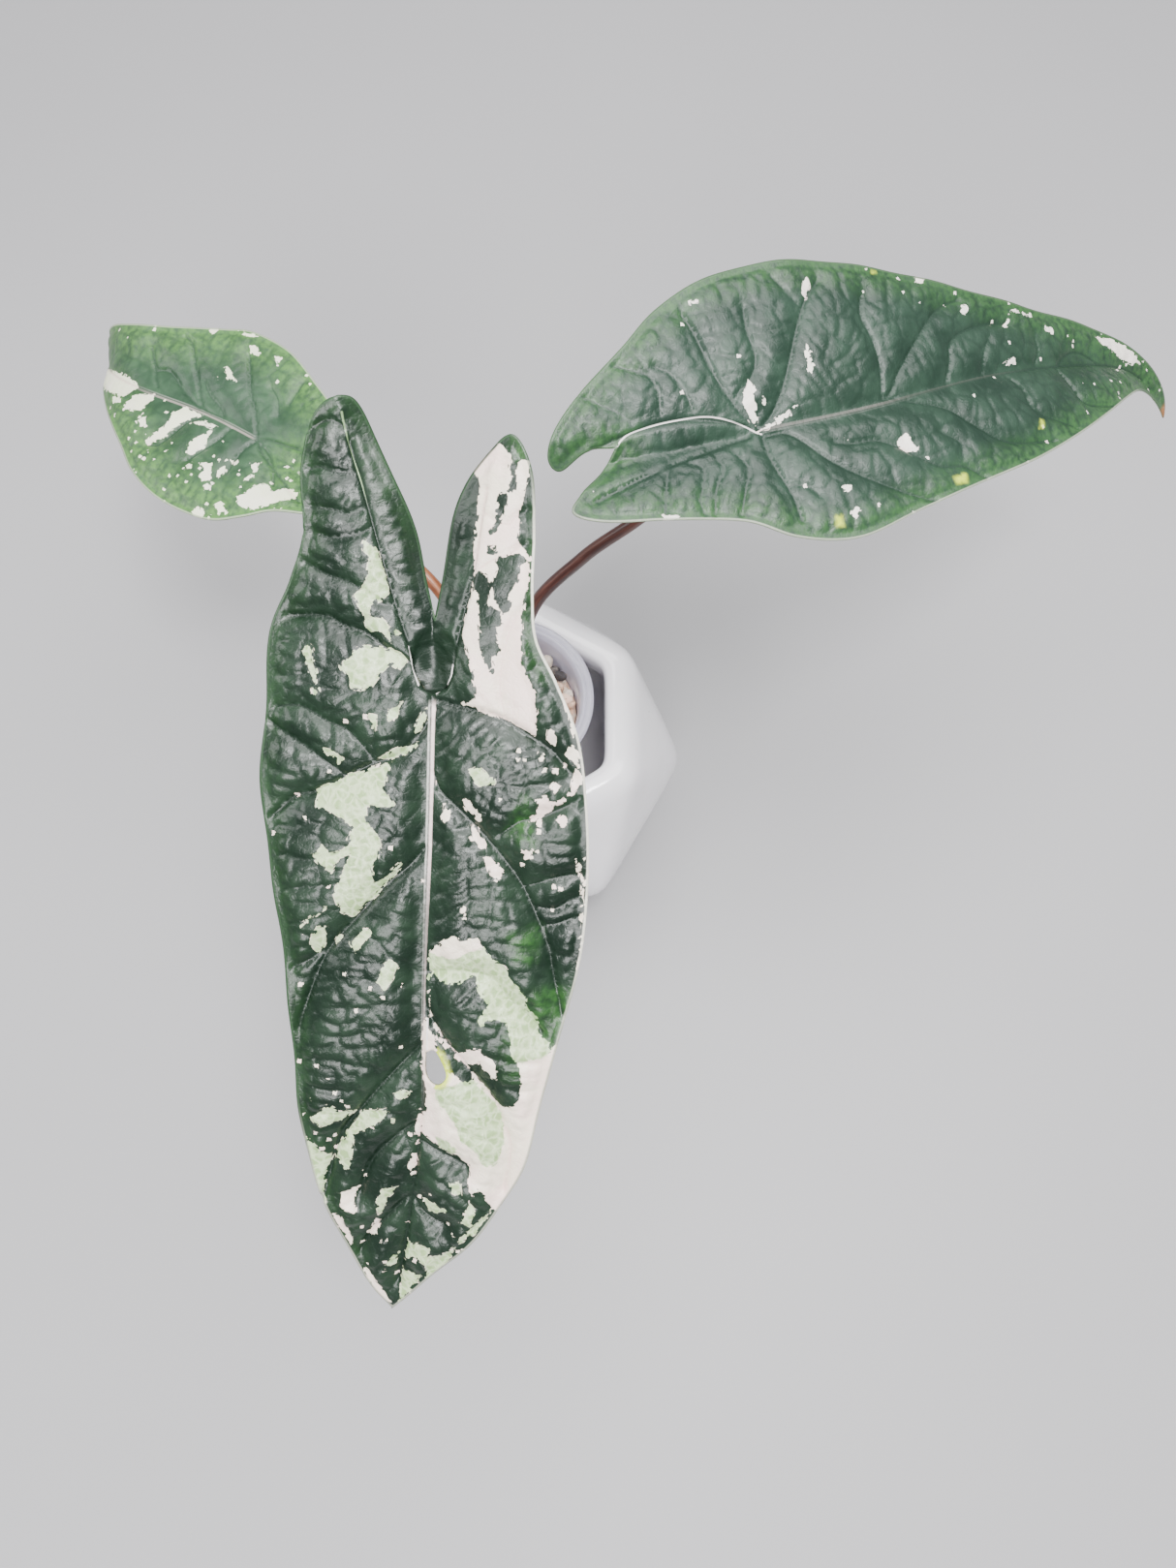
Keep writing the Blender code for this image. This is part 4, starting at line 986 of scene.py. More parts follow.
def leaf_normals(leaf, u, v):
    """Unit normals of the middle surface, from its slopes either side of each point."""
    by_u = leaf_points(leaf, u + SLOPE_REACH, v) - leaf_points(leaf, u - SLOPE_REACH, v)
    by_v = leaf_points(leaf, u, v + SLOPE_REACH) - leaf_points(leaf, u, v - SLOPE_REACH)
    normal = np.cross(by_v, by_u)
    return normal / np.linalg.norm(normal, axis=1)[:, None]


def inside_loop(loop, u, v):
    """True where a point lies inside a closed loop of (u, v) corners."""
    result = np.zeros(len(u), dtype=bool)
    for (u0, v0), (u1, v1) in zip(loop, np.roll(loop, -1, axis=0)):
        crosses = (v0 > v) != (v1 > v)
        if v1 != v0:
            result ^= crosses & (u < (u1 - u0) * (v - v0) / (v1 - v0) + u0)
    return result


def nearest_on(chain, u, v):
    """Distance of points from a chain, signed by side, and how far along it they lie."""
    best = np.full(len(u), 1e9)
    side = np.ones(len(u))
    place = np.zeros(len(u))
    run = 0.0
    for (u0, v0), (u1, v1) in zip(chain[:-1], chain[1:]):
        du, dv = u1 - u0, v1 - v0
        length = math.hypot(du, dv)
        if length < 1e-9:
            continue
        share = np.clip(((u - u0) * du + (v - v0) * dv) / (length * length), 0.0, 1.0)
        distance = np.hypot(u - u0 - share * du, v - v0 - share * dv)
        closer = distance < best
        best = np.where(closer, distance, best)
        side = np.where(closer, np.sign(du * (v - v0) - dv * (u - u0)), side)
        place = np.where(closer, run + share * length, place)
        run += length
    return best, side, place


def closed(loop):
    """A loop with its first corner repeated at its end."""
    return np.vstack([loop, loop[:1]])


def leaf_place(u, v):
    """Leaf coordinates as flat vectors."""
    return np.stack([u, v, 0 * u], axis=1)


def patch_field(patches, u, v):
    """How deep points lie inside any of the patches, negative outside."""
    field = np.full(len(u), -PATCH_REACH)
    for patch in patches:
        loop = np.array(patch, dtype=float)
        low, high = loop.min(axis=0) - PATCH_REACH, loop.max(axis=0) + PATCH_REACH
        near = np.where((u > low[0]) & (u < high[0]) & (v > low[1]) & (v < high[1]))[0]
        if len(near) == 0:
            continue
        depth = nearest_on(closed(loop), u[near], v[near])[0]
        depth = np.where(inside_loop(loop, u[near], v[near]), depth, -depth)
        field[near] = np.maximum(field[near], depth)
    return field


def leaf_outline(leaf):
    """The closed outline as one loop, smooth along each margin and sharp at tip and sinus."""
    right = fine_curve(leaf["right_margin"], EDGE_STEP)
    left = fine_curve(leaf["left_margin"], EDGE_STEP)
    return np.vstack([right[:-1], left[:-1]])


def leaf_hole(leaf):
    """The hole's outline as a smooth loop, or no points."""
    hole = np.array(leaf["hole"], dtype=float).reshape(-1, 2)
    return smooth_curve(closed(hole), HOLE_POINTS)[:-1] if len(hole) else hole


class Sieve:
    """Lets a point through only where no earlier point lies too near."""

    def __init__(self):
        self.cells = {}
        self.points = []

    def offer(self, points, gap):
        """Takes the points that keep the gap to all taken so far."""
        for u, v in points:
            cell = (math.floor(u), math.floor(v))
            near = (other for i in (-1, 0, 1) for j in (-1, 0, 1)
                    for other in self.cells.get((cell[0] + i, cell[1] + j), ()))
            if all((u - a) ** 2 + (v - b) ** 2 > gap * gap for a, b in near):
                self.cells.setdefault(cell, []).append((u, v))
                self.points.append((u, v))


def offset_rows(chain, offsets):
    """Rows of points beside a chain, on both sides, at each offset."""
    tangent = np.gradient(chain, axis=0)
    tangent /= np.linalg.norm(tangent, axis=1)[:, None]
    side = np.stack([-tangent[:, 1], tangent[:, 0]], axis=1)
    rows = []
    for offset in offsets:
        rows.append(chain + side * offset)
        if offset:
            rows.append(chain - side * offset)
    return np.vstack(rows)


def hexagon_grid(outline, spacing):
    """Points of a hexagonal grid over an outline."""
    low, high = outline.min(axis=0), outline.max(axis=0)
    rows = []
    for row, v in enumerate(np.arange(low[1], high[1], spacing * math.sqrt(3) / 2)):
        across = np.arange(low[0], high[0], spacing) + (row % 2) * spacing / 2
        rows.append(np.stack([across, np.full(len(across), v)], axis=1))
    return np.vstack(rows)


def in_blade(outline, hole, u, v):
    """True where a point lies inside the outline and outside any hole."""
    result = inside_loop(outline, u, v)
    return result & ~inside_loop(hole, u, v) if len(hole) else result


def blade_candidates(leaf, outline):
    """Groups of points that a blade's mesh would like, each with the gap that it keeps."""
    rows = offset_rows(outline, RIM_OFFSETS)
    depth = nearest_on(closed(outline), rows[:, 0], rows[:, 1])[0]
    inner = inside_loop(outline, rows[:, 0], rows[:, 1]) & (depth > RIM_OFFSETS[0] * 0.9)
    groups = [(rows[inner], RIM_GAP)]
    for chain in leaf["threads"]:
        groups.append((offset_rows(fine_curve(chain, 0.6), THREAD_OFFSETS), THREAD_GAP))
    for chain in (leaf["midrib"],) + leaf["costae"] + leaf["laterals"] + leaf["twigs"]:
        groups.append((offset_rows(fine_curve(chain, 0.75), VEIN_OFFSETS), VEIN_GAP))
    groups.append((hexagon_grid(outline, leaf["spacing"]), leaf["spacing"] * GRID_GAP_SHARE))
    return groups


def blade_layout(leaf, outline, hole):
    """Flat points and triangles of a blade, with rows of points along its rim and veins."""
    sieve = Sieve()
    sieve.offer(outline, OUTLINE_GAP)
    sieve.offer(hole, OUTLINE_GAP)
    for points, gap in blade_candidates(leaf, outline):
        keep = in_blade(outline, hole, points[:, 0], points[:, 1])
        keep &= nearest_on(closed(outline), points[:, 0], points[:, 1])[0] > EDGE_CLEARANCE
        sieve.offer(points[keep], gap)
    edge, ring = len(outline), len(hole)
    edges = [(i, (i + 1) % edge) for i in range(edge)]
    edges += [(edge + i, edge + (i + 1) % ring) for i in range(ring)]
    result = delaunay_2d_cdt([Vector(point) for point in sieve.points], edges, [], 0, 1e-6)
    verts = np.array([tuple(point) for point in result[0]])
    triangles = np.array([tuple(face) for face in result[2]])
    middle = verts[triangles].mean(axis=1)
    triangles = triangles[in_blade(outline, hole, middle[:, 0], middle[:, 1])]
    used = np.unique(triangles)
    renumber = np.full(len(verts), -1)
    renumber[used] = np.arange(len(used))
    return verts[used], renumber[triangles]


def rungs(phase):
    """Cushions between narrow valleys, with a fainter valley halfway."""
    whole = np.abs(np.sin(math.pi * phase)) ** 0.5
    half = np.abs(np.sin(2 * math.pi * phase)) ** 0.5
    return 0.62 * whole + 0.38 * half


def cell_border(u, v, size):
    """How far each point lies from the border of its cell in an irregular net of cells."""
    rng = np.random.default_rng(NET_SEED)
    jitter = rng.uniform(0.12, 0.88, (NET_CELLS, NET_CELLS, 2))
    column = np.floor(u / size).astype(int)
    row = np.floor(v / size).astype(int)
    distances = []
    for i in (-1, 0, 1):
        for j in (-1, 0, 1):
            shift = jitter[(column + i) % NET_CELLS, (row + j) % NET_CELLS]
            heart_u = (column + i + shift[:, 0]) * size
            heart_v = (row + j + shift[:, 1]) * size
            distances.append(np.hypot(u - heart_u, v - heart_v))
    nearest = np.sort(np.array(distances), axis=0)
    return (nearest[1] - nearest[0]) / 2


def vein_fields(leaf, u, v, margin, margin_run, wobble):
    """What the ribs and veins do round them: bulge, valley, ladder, and nearness to each."""
    bulge = np.ones(len(u))
    valley, rib, ladder = np.zeros((3, len(u)))
    weight = np.full(len(u), 1e-9)
    vein = np.full(len(u), FAR)
    kinds = ((leaf["midrib"],) + leaf["costae"], leaf["laterals"], leaf["twigs"])
    for chains, (depth, width) in zip(kinds, VEIN_REACHES):
        for chain in chains:
            distance, side, run = nearest_on(fine_curve(chain, CHAIN_STEP), u, v)
            bulge *= 1 - depth * bell(distance, width)
            valley = np.maximum(valley, depth * bell(distance, VALLEY_WIDTH))
            share = depth * np.exp(-distance / LADDER_FADE)
            phase = (run + leaf["slant"] * distance + wobble + 1.7 * side) / leaf["pitch"]
            ladder += share * rungs(phase)
            weight += share
            vein = np.minimum(vein, distance / depth)
            rib = np.maximum(rib, depth * bell(distance, RIB_WIDTH))
    near_edge = np.exp(-margin / EDGE_FADE)
    ladder += near_edge * rungs((margin_run + wobble) / (leaf["pitch"] * EDGE_PITCH))
    weight += near_edge
    return bulge, valley, ladder / weight - LADDER_MEAN, vein, rib


def leaf_relief(leaf, u, v, margin, margin_run):
    """Height of the upper skin over the middle surface, and where its veins and folds lie."""
    flat = leaf_place(u, v)
    wobble = WOBBLE * lumps(flat, 9.0, 1)
    bulge, valley, ladder, vein, rib = vein_fields(leaf, u, v, margin, margin_run, wobble)
    mask = (1 - bell(vein, 1.9)) * ease(margin, 1.6, 3.6)
    border = cell_border(u + 0.5 * wobble, v + 0.8 * lumps(flat, 5.0, 4), leaf["net_size"])
    netted = bell(border, NET_WIDTH) * mask
    # Fold marks the valleys between the cushions and the net of small veins. The shader darkens the
    # green there as painted shade and makes the mint's veins paler there.
    fold = np.maximum(np.clip(-ladder / 0.45, 0.0, 1.0) * mask, 0.75 * netted)
    calm = ease(patch_field(leaf["smooth"], u, v), -1.0, 2.0)
    height = leaf["quilt"] * (bulge - 0.5) * ease(margin, 0.0, 6.0)
    height += leaf["ladder"] * ladder * mask
    height += leaf["wrinkle"] * (lumps(flat, 2.6, 2) + 0.6 * lumps(flat, 1.3, 3)) * mask
    height -= leaf["net_depth"] * netted
    height *= 1 - 0.65 * calm
    height -= leaf["groove"] * valley * (1 - 0.4 * calm)
    height += 0.30 * bell(margin, 0.9) - 0.34 * bell(margin - 2.2, 0.7)
    wave = np.sin(2 * math.pi * margin_run / WAVE_LENGTH)
    height += leaf["edge_wave"] * wave * np.exp(-margin / EDGE_FADE)
    middle, side, run = nearest_on(fine_curve(leaf["midrib"], CHAIN_STEP), u, v)
    taper = 1 - ease(run, 60.0, 150.0)
    height += 0.75 * taper * np.exp(-(middle / 0.95) ** 4) * ease(run, 0.0, 3.0)
    if leaf["hollow"]:
        sunk = ease(patch_field((leaf["hollow"],), u, v), -0.4, 1.6) * ease(v, -19, -8)
        height -= HOLLOW_DEPTH * sunk
        # The hollow joins the folds, so the shader darkens it as painted shade.
        fold = np.maximum(fold, sunk)
    return {"height": height, "vein": vein, "off": middle * side, "run": run, "rib": rib,
            "fold": fold}


def fleck_density(leaf, u, v, margin):
    """How many small pale flecks there are, as a share of the cells."""
    if leaf is FRONT_LEAF:
        tip = 0.22 * ease(v, 128, 160)
        low_left = 0.06 * ease(v, 95, 118) * ease(-u, 2, 12)
        right = 0.035 * ease(u, 6, 14) * ease(v, -12, 4) * (1 - ease(v, 58, 70))
        middle = 0.022 * (1 - ease(np.abs(u + 14), 14, 24)) * (1 - ease(np.abs(v - 50), 40, 60))
        return 0.004 + np.maximum(np.maximum(tip, low_left), np.maximum(right, middle))
    if leaf is RIGHT_LEAF:
        upper = 0.06 * ease(u, 0, 10) * (1 - ease(margin, 5, 12)) * ease(v, 30, 60)
        return 0.006 + upper + 0.05 * ease(v, 130, 170)
    clouds = ease(lumps(leaf_place(u, v), 9.0, 6), -0.25, 0.35)
    low = 0.20 * clouds * ease(u, 2, 14) * (1 - ease(v, 60, 84)) * ease(v, -34, -20)
    return 0.008 + low + 0.04 * (1 - ease(margin, 3, 8))


def pale_rim_share(leaf, u, v):
    """Where the rim is white instead of green."""
    if leaf is FRONT_LEAF:
        return np.maximum(ease(u, 4, 12) * ease(v, -60, -40) * (1 - 0.55 * ease(v, 60, 80)),
                          0.45 * ease(v, 110, 140))
    if leaf is RIGHT_LEAF:
        return 0.40 * ease(-u, 6, 14)
    return 0.35 + 0 * u


def brightness(leaf, u, v, margin):
    """Where the green is fresher."""
    if leaf is FRONT_LEAF:
        field = patch_field(leaf["bright"], u, v)
        cap = ease(-v, 55, 62) * ease(u, 12, 17)
        side = 0.75 * ease(u, 20, 30) * ease(v, 72, 84) * (1 - ease(v, 96, 104))
        lobe = 0.5 * ease(u, 19, 23) * ease(-v, 4, 10)
        left = 0.22 * (1 - ease(margin, 1, 9)) * ease(-u, 5, 12)
        return np.clip(ease(field, -3.0, 1.5) + cap + side + lobe + left, 0.0, 1.0)
    if leaf is RIGHT_LEAF:
        return np.clip(0.9 * (1 - ease(margin, 1, 14)) + 0.3 * ease(v, 90, 170), 0.0, 1.0)
    return np.clip(0.95 * (1 - ease(margin, 2, 20)) + 0.2 * ease(u, 5, 25), 0.0, 1.0)


def thread_distance(leaf, u, v):
    """Distance to the nearest pale thread, which is thinner down the front leaf's left lobe."""
    nearest = np.full(len(u), FAR)
    for chain in leaf["threads"]:
        nearest = np.minimum(nearest, nearest_on(fine_curve(chain, CHAIN_STEP), u, v)[0])
    if leaf is FRONT_LEAF:
        nearest += 0.45 * ease(v, -54, -38) * (v < -20)
    return np.minimum(nearest, 4.0)


def yellow_and_lit_depth(leaf, hole, u, v):
    """How deep points lie in a yellow spot, and how near they lie to the lit side of the hole's edge,
    where light is painted in yellow.
    """
    yellow = patch_field(leaf["yellow"], u, v) - YELLOW_LOSS
    if len(hole):
        # Painted light: the lit side of the hole's edge is painted yellow.
        lit_side = (u > 7) & (v < 106)
        yellow = np.where(lit_side, 1.0 - nearest_on(closed(hole), u, v)[0], yellow)
    return yellow


def blade_fields(leaf, hole, u, v, margin, relief):
    """The values that the leaf's material reads, by name."""
    pale = patch_field(leaf["pale"], u, v)
    if leaf["islands"]:
        pale = np.minimum(pale, -patch_field(leaf["islands"], u, v) - ISLAND_GROWTH)
    run, off = relief["run"], relief["off"]
    band = (1 - 0.7 * ease(run, 38, 60) - 0.3 * ease(run, 84, 118)) * ease(run, 0.5, 3.0)
    return {
        "pale_mm": pale,
        "mint_mm": patch_field(leaf["mint"], u, v),
        "yellow_and_lit_mm": yellow_and_lit_depth(leaf, hole, u, v),
        "vein_mm": np.minimum(relief["vein"], 6.0),
        "midrib_mm": np.clip(off / (1 - 0.4 * ease(run, 42, 80)), -6, 6),
        "midrib_band": band * leaf["midrib_show"],
        "margin_mm": np.minimum(margin, 8.0),
        "thread_mm": thread_distance(leaf, u, v),
        "thread_green": ease(-v, 12, 16) if leaf is FRONT_LEAF else 0 * v,
        "fleck": fleck_density(leaf, u, v, margin),
        "pale_rim": pale_rim_share(leaf, u, v),
        "bright": brightness(leaf, u, v, margin),
        "hook": ease(v, 203, 206) if leaf is RIGHT_LEAF else 0 * v,
        "rib": relief["rib"],
        "fold": relief["fold"],
    }


def sheet_faces(triangles, count):
    """Faces of a closed sheet: the upper skin, the lower skin and the edges between them."""
    upper = [tuple(int(i) for i in face) for face in triangles]
    lower = [tuple(i + count for i in reversed(face)) for face in upper]
    uses = {}
    for a, b, c in upper:
        for edge in ((a, b), (b, c), (c, a)):
            uses.setdefault(tuple(sorted(edge)), []).append(edge)
    open_edges = [both[0] for both in uses.values() if len(both) == 1]
    return upper + lower + [(b, a, a + count, b + count) for a, b in open_edges]


def make_blade(leaf):
    """A blade as a closed quilted sheet, with its fields stored for the shader."""
    outline = leaf_outline(leaf)
    hole = leaf_hole(leaf)
    flat, triangles = blade_layout(leaf, outline, hole)
    u, v = flat[:, 0], flat[:, 1]
    margin, _, margin_run = nearest_on(closed(outline), u, v)
    relief = leaf_relief(leaf, u, v, margin, margin_run)
    middle = leaf_points(leaf, u, v)
    normal = leaf_normals(leaf, u, v)
    half = BLADE_THICKNESS / 2 * (0.55 + 0.45 * ease(margin, 0.0, 1.5))
    side_ribs = 0.85 * relief["rib"] * ease(margin, 1.5, 5.0)
    main_rib = 1.5 * bell(relief["off"], 1.5) * (1 - 0.6 * ease(relief["run"], 20, 150))
    under = np.maximum(side_ribs, main_rib * ease(margin, 1.5, 5.0))
    points = np.vstack([middle + normal * (half + relief["height"])[:, None],
                        middle + normal * (0.85 * relief["height"] - half - under)[:, None]])
    piece = add_piece(leaf["name"] + "_skin", points, sheet_faces(triangles, len(flat)),
                      leaf_material(leaf), [leaf["name"]], leaf["name"].replace("_blade", "_leaf"))
    for name, values in blade_fields(leaf, hole, u, v, margin, relief).items():
        set_values(piece.data, name, np.concatenate([values, values]))
    set_values(piece.data, "top", np.repeat([1.0, 0.0], len(flat)))
    set_vectors(piece.data, "leaf_mm", np.tile(leaf_place(u, v), (2, 1)))


# Petioles
def petiole_material(name, deep, light):
    """A fleshy stalk: lengthwise mottling and fine ribs, paler where the sheath opens."""
    net = Net(name)
    streak = net.noise(net.attribute("stalk_mm", "Vector"), 2.2, 4.0)
    blotch = net.noise(net.place(), 7.0)
    colour = net.mix(net.step(streak, 0.35, 0.72), deep, light)
    colour = net.tint(net.step(blotch, 0.5, 0.75), 0.35, colour, light)
    colour = net.tint(net.attribute("sheath"), 0.7, colour, SHEATH_PINK)
    dots = net.noise(net.place(), 0.7, 2.0)
    colour = net.tint(net.step(dots, 0.62, 0.72), 0.4, colour, deep)
    return net.finish(colour, net.plus(0.26, net.times(blotch, 0.2)), Normal=net.bump(streak, 0.12),
                      Coat_Weight=0.15, Coat_Roughness=0.2)


def petiole_path(petiole):
    """Points along a petiole, from the crown to just under its blade."""
    origin = np.zeros(1)
    top = leaf_points(petiole["leaf"], origin, origin)[0]
    normal = leaf_normals(petiole["leaf"], origin, origin)[0]
    end = top - normal * (BLADE_THICKNESS / 2 + BLADE_GAP + PETIOLE_TIP_RADIUS)
    foot = by_cup(PETIOLE_FOOT_CIRCLE, math.radians(petiole["foot_angle"]), CROWN_Z)
    shank = (foot[0], foot[1], foot[2] + SHANK)
    return smooth_curve((foot, shank, *petiole["route"], tuple(end)), PETIOLE_RINGS)


def petiole_radius(share):
    """A petiole's radius: swollen at its foot, slender above and rounded at its end."""
    swell = max(0.0, 1.0 - share / SWELL_SHARE) ** 2
    radius = PETIOLE_MID_RADIUS + (PETIOLE_TIP_RADIUS - PETIOLE_MID_RADIUS) * share
    radius += (PETIOLE_BASE_RADIUS - PETIOLE_MID_RADIUS) * swell
    nose = max(0.0, (share - (1 - NOSE_SHARE)) / NOSE_SHARE)
    return radius * math.sqrt(max(1 - nose * nose, 0.04))


def make_petiole(petiole, material):
    """A petiole from its swollen foot and open sheath to its end under the blade."""
    path = petiole_path(petiole)
    tangents = np.gradient(path, axis=0)
    tangents /= np.linalg.norm(tangents, axis=1)[:, None]
    inward = np.array((*CUP_AXIS, CROWN_Z + ABOVE_CROWN)) - path[4]
    wing_place, wing_width, wing_height = SHEATH_WING
    slit_width, slit_depth = SHEATH_SLIT
    rings, sheath, stalk = [], [], []
    for k, (point, tangent) in enumerate(zip(path, tangents)):
        share = k / (PETIOLE_RINGS - 1)
        inward = inward - tangent * np.dot(inward, tangent)
        inward /= np.linalg.norm(inward)
        other = np.cross(tangent, inward)
        radius = petiole_radius(share)
        open_here = float(1 - ease(share, SHEATH_SHARE * 0.6, SHEATH_SHARE))
        ring = []
        for i in range(PETIOLE_SIDES):
            a = 2 * math.pi * i / PETIOLE_SIDES
            off = min(a, 2 * math.pi - a)
            wing = math.exp(-((off - wing_place) / wing_width) ** 2)
            slit = math.exp(-(off / slit_width) ** 2)
            reach = radius * (1 + open_here * (wing_height * wing - slit_depth * slit))
            reach *= 1 + STALK_RIB_HEIGHT * math.sin(STALK_RIBS * a)
            ring.append(tuple(point + reach * (math.cos(a) * inward + math.sin(a) * other)))
            sheath.append(open_here * max(wing, 0.25 * slit))
            stalk.append((a * radius * 1.6, STREAK_STRETCH * share * PETIOLE_SPAN, 0.0))
        rings.append(ring)
    piece = add_piece(petiole["name"] + "_skin", *loft(rings), material, [petiole["name"]],
                      petiole["slot"])
    set_values(piece.data, "sheath", np.array(sheath + [0.0] * 2))
    set_vectors(piece.data, "stalk_mm", np.array(stalk + [(0.0, 0.0, 0.0)] * 2))


# Planter
def polar(radius, degrees, height):
    """A point from its distance to the planter's axis, its bearing and its height."""
    return np.array((radius * math.cos(math.radians(degrees)),
                     radius * math.sin(math.radians(degrees)), height))


def facet_planes():
    """Unit normal and offset of each triangular facet, above and below the waist."""
    planes = []
    for end_radius, end_z in ((RIM_RADIUS, RIM_Z), (BASE_RADIUS, 0.0)):
        for k in range(SIDES):
            waist = polar(WAIST_RADIUS, SIDE_TURN * k, WAIST_Z)
            next_waist = polar(WAIST_RADIUS, SIDE_TURN * (k + 1), WAIST_Z)
            before = polar(end_radius, SIDE_TURN * (k - 0.5), end_z)
            after = polar(end_radius, SIDE_TURN * (k + 0.5), end_z)
            for a, b, c in ((before, after, waist), (waist, next_waist, after)):
                normal = np.cross(b - a, c - a)
                normal /= np.linalg.norm(normal)
                offset = float(np.dot(normal, a))
                planes.append((normal, offset) if offset > 0 else (-normal, -offset))
    return planes


PLANES = facet_planes()
ANGLES = np.arange(PLANTER_SEGMENTS) * 2 * math.pi / PLANTER_SEGMENTS


def walled_in(sides, sharpness):
    """Distance from the axis to the nearest of some flat sides at every angle, corners rounded."""
    total = np.zeros(PLANTER_SEGMENTS)
    for facing, offset in sides:
        ahead = facing > LEAST_FACING
        reach = offset / np.where(ahead, facing, 1.0)
        total += np.where(ahead, reach ** -sharpness, 0.0)
    return total ** (-1.0 / sharpness)


def outer_radius(height):
    """Distance from the axis to the faceted wall at every angle."""
    return walled_in([(normal[0] * np.cos(ANGLES) + normal[1] * np.sin(ANGLES),
                       offset - normal[2] * height) for normal, offset in PLANES], EDGE_SHARPNESS)


def mouth_radius():
    """Distance from the axis to the edge of the hexagonal mouth at every angle."""
    flat = MOUTH_RADIUS * math.cos(math.radians(SIDE_TURN / 2))
    return walled_in([(np.cos(ANGLES - math.radians(SIDE_TURN * k)), flat) for k in range(SIDES)],
                     MOUTH_SHARPNESS)


def inner_radius(height):
    """The inside wall: the mouth at the top, widening to follow the outside below."""
    share = float(ease(RIM_Z - NECK - height, 0.0, NECK_FLARE))
    return mouth_radius() * (1 - share) + (outer_radius(height) - WALL) * share


def planter_material():
    """White glaze with a faint lilac cast, pooled a little darker, on a bisque foot."""
    net = Net("glaze")
    place = net.place()
    colour = net.tint(net.step(net.noise(place, 26.0), 0.35, 0.7), 0.6, GLAZE, GLAZE_SHADE)
    heart, dot = net.cells(place, 9.0)
    pit = net.times(net.math("LESS_THAN", heart, 0.035), net.math("GREATER_THAN", dot, 0.86))
    colour = net.tint(pit, 0.5, colour, GLAZE_PIT)
    away = net.vector_math("DISTANCE", place, SPECK).outputs["Value"]
    colour = net.tint(net.fade(away, SPECK_RADIUS * 0.5, SPECK_RADIUS * 1.4), 0.75, colour, SPECK_GREY)
    foot_line = net.plus(net.height(place), net.swing(net.noise(place, 5.0), 1.0))
    foot = net.fade(foot_line, 0.7, 1.1)
    return net.finish(net.mix(foot, colour, BISQUE), net.plus(0.13, net.times(foot, 0.6)),
                      Normal=net.bump(net.noise(place, 11.0, 2.0), 0.25), Coat_Weight=0.5,
                      Coat_Roughness=0.06)


def make_planter(material):
    """The planter: recessed underside, faceted wall, rounded lip and hollow, as one skin."""
    foot = ((FOOT_RECESS, 12.0), (0.4, 11.2), (0.0, 10.2))
    flanks = [(z, 0.0) for z in (5, 14, 24, 34, 42, 48, 54, 60, 70, 82, 92)]
    outside = ((0.0, 7.0), (0.7, 4.0), (2.2, 1.6), *flanks, (98.0, 0.3), (101.3, 1.4), (103.3, 3.4),
               (RIM_Z, 6.2))
    lip = ((RIM_Z, 3.6), (103.2, 1.4), (101.2, 0.3), (98.5, 0.0))
    inside = [(z, 0.0) for z in (94, 86, 76, 64, 51, 36, 22, 13)]
    bottom = ((9.0, 0.93), (7.4, 0.87), (FLOOR, 0.78))
    mouth = mouth_radius()

    def ring(radii, height):
        return [(r * math.cos(a), r * math.sin(a), height) for r, a in zip(radii, ANGLES)]

    rings = [ring(outer_radius(0.0) - inset, z) for z, inset in foot]
    rings += [ring(outer_radius(z) - inset, z) for z, inset in smooth_curve(outside, 96)]
    rings += [ring(mouth + inset, z) for z, inset in smooth_curve(lip, 12)]
    rings += [ring(inner_radius(z), z) for z, _ in smooth_curve(inside, 36)]
    rings += [ring(inner_radius(z) * share, z) for z, share in bottom]
    add_piece("outer_planter_skin", *loft(rings), material, ["outer_planter"], "glazed_white")


# Inner cup
def cup_material():
    """Thin milky plastic with a lilac cast and faint moulding marks."""
    net = Net("milky_plastic")
    place = net.place()
    haze = net.noise(place, 6.0)
    return net.finish(net.tint(haze, 0.5, CUP_LILAC, CUP_HAZE), net.plus(0.16, net.times(haze, 0.14)),
                      Normal=net.bump(net.noise(place, 3.0, 2.0), 0.06), Transmission_Weight=0.55,
                      IOR=1.45, Coat_Weight=0.3, Coat_Roughness=0.1)


def cup_wall_radius(height):
    """Inside radius of the cup's tapering wall."""
    share = (height - CUP_FOOT_Z) / (CUP_THROAT_Z - CUP_FOOT_Z)
    return CUP_BASE_RADIUS + (CUP_THROAT_RADIUS - CUP_BASE_RADIUS) * share - CUP_WALL


def cut_away(piece, cutter):
    """Subtracts a cutter from a piece for good, and removes the cutter."""
    cut = piece.modifiers.new("cut", "BOOLEAN")
    cut.operation = "DIFFERENCE"
    cut.object = cutter
    evaluated = piece.evaluated_get(bpy.context.evaluated_depsgraph_get())
    mesh = bpy.data.meshes.new_from_object(evaluated)
    piece.modifiers.clear()
    piece.data = mesh
    bpy.data.objects.remove(cutter, do_unlink=True)


def drain_through(piece, bearing):
    """Cuts one round drain hole through the cup's floor."""
    ends = ((DRAIN_RADIUS, CUP_FOOT_Z - 3), (DRAIN_RADIUS, CUP_FOOT_Z + 4))
    points, faces = turned(ends, DRAIN_SEGMENTS, by_cup(DRAIN_CIRCLE, bearing, 0.0)[:2])
    mesh = bpy.data.meshes.new("drain")
    mesh.from_pydata([Vector(point) * MM for point in points], [], faces)
    cutter = bpy.data.objects.new("drain", mesh)
    bpy.context.scene.collection.objects.link(cutter)
    bpy.context.view_layer.update()
    cut_away(piece, cutter)


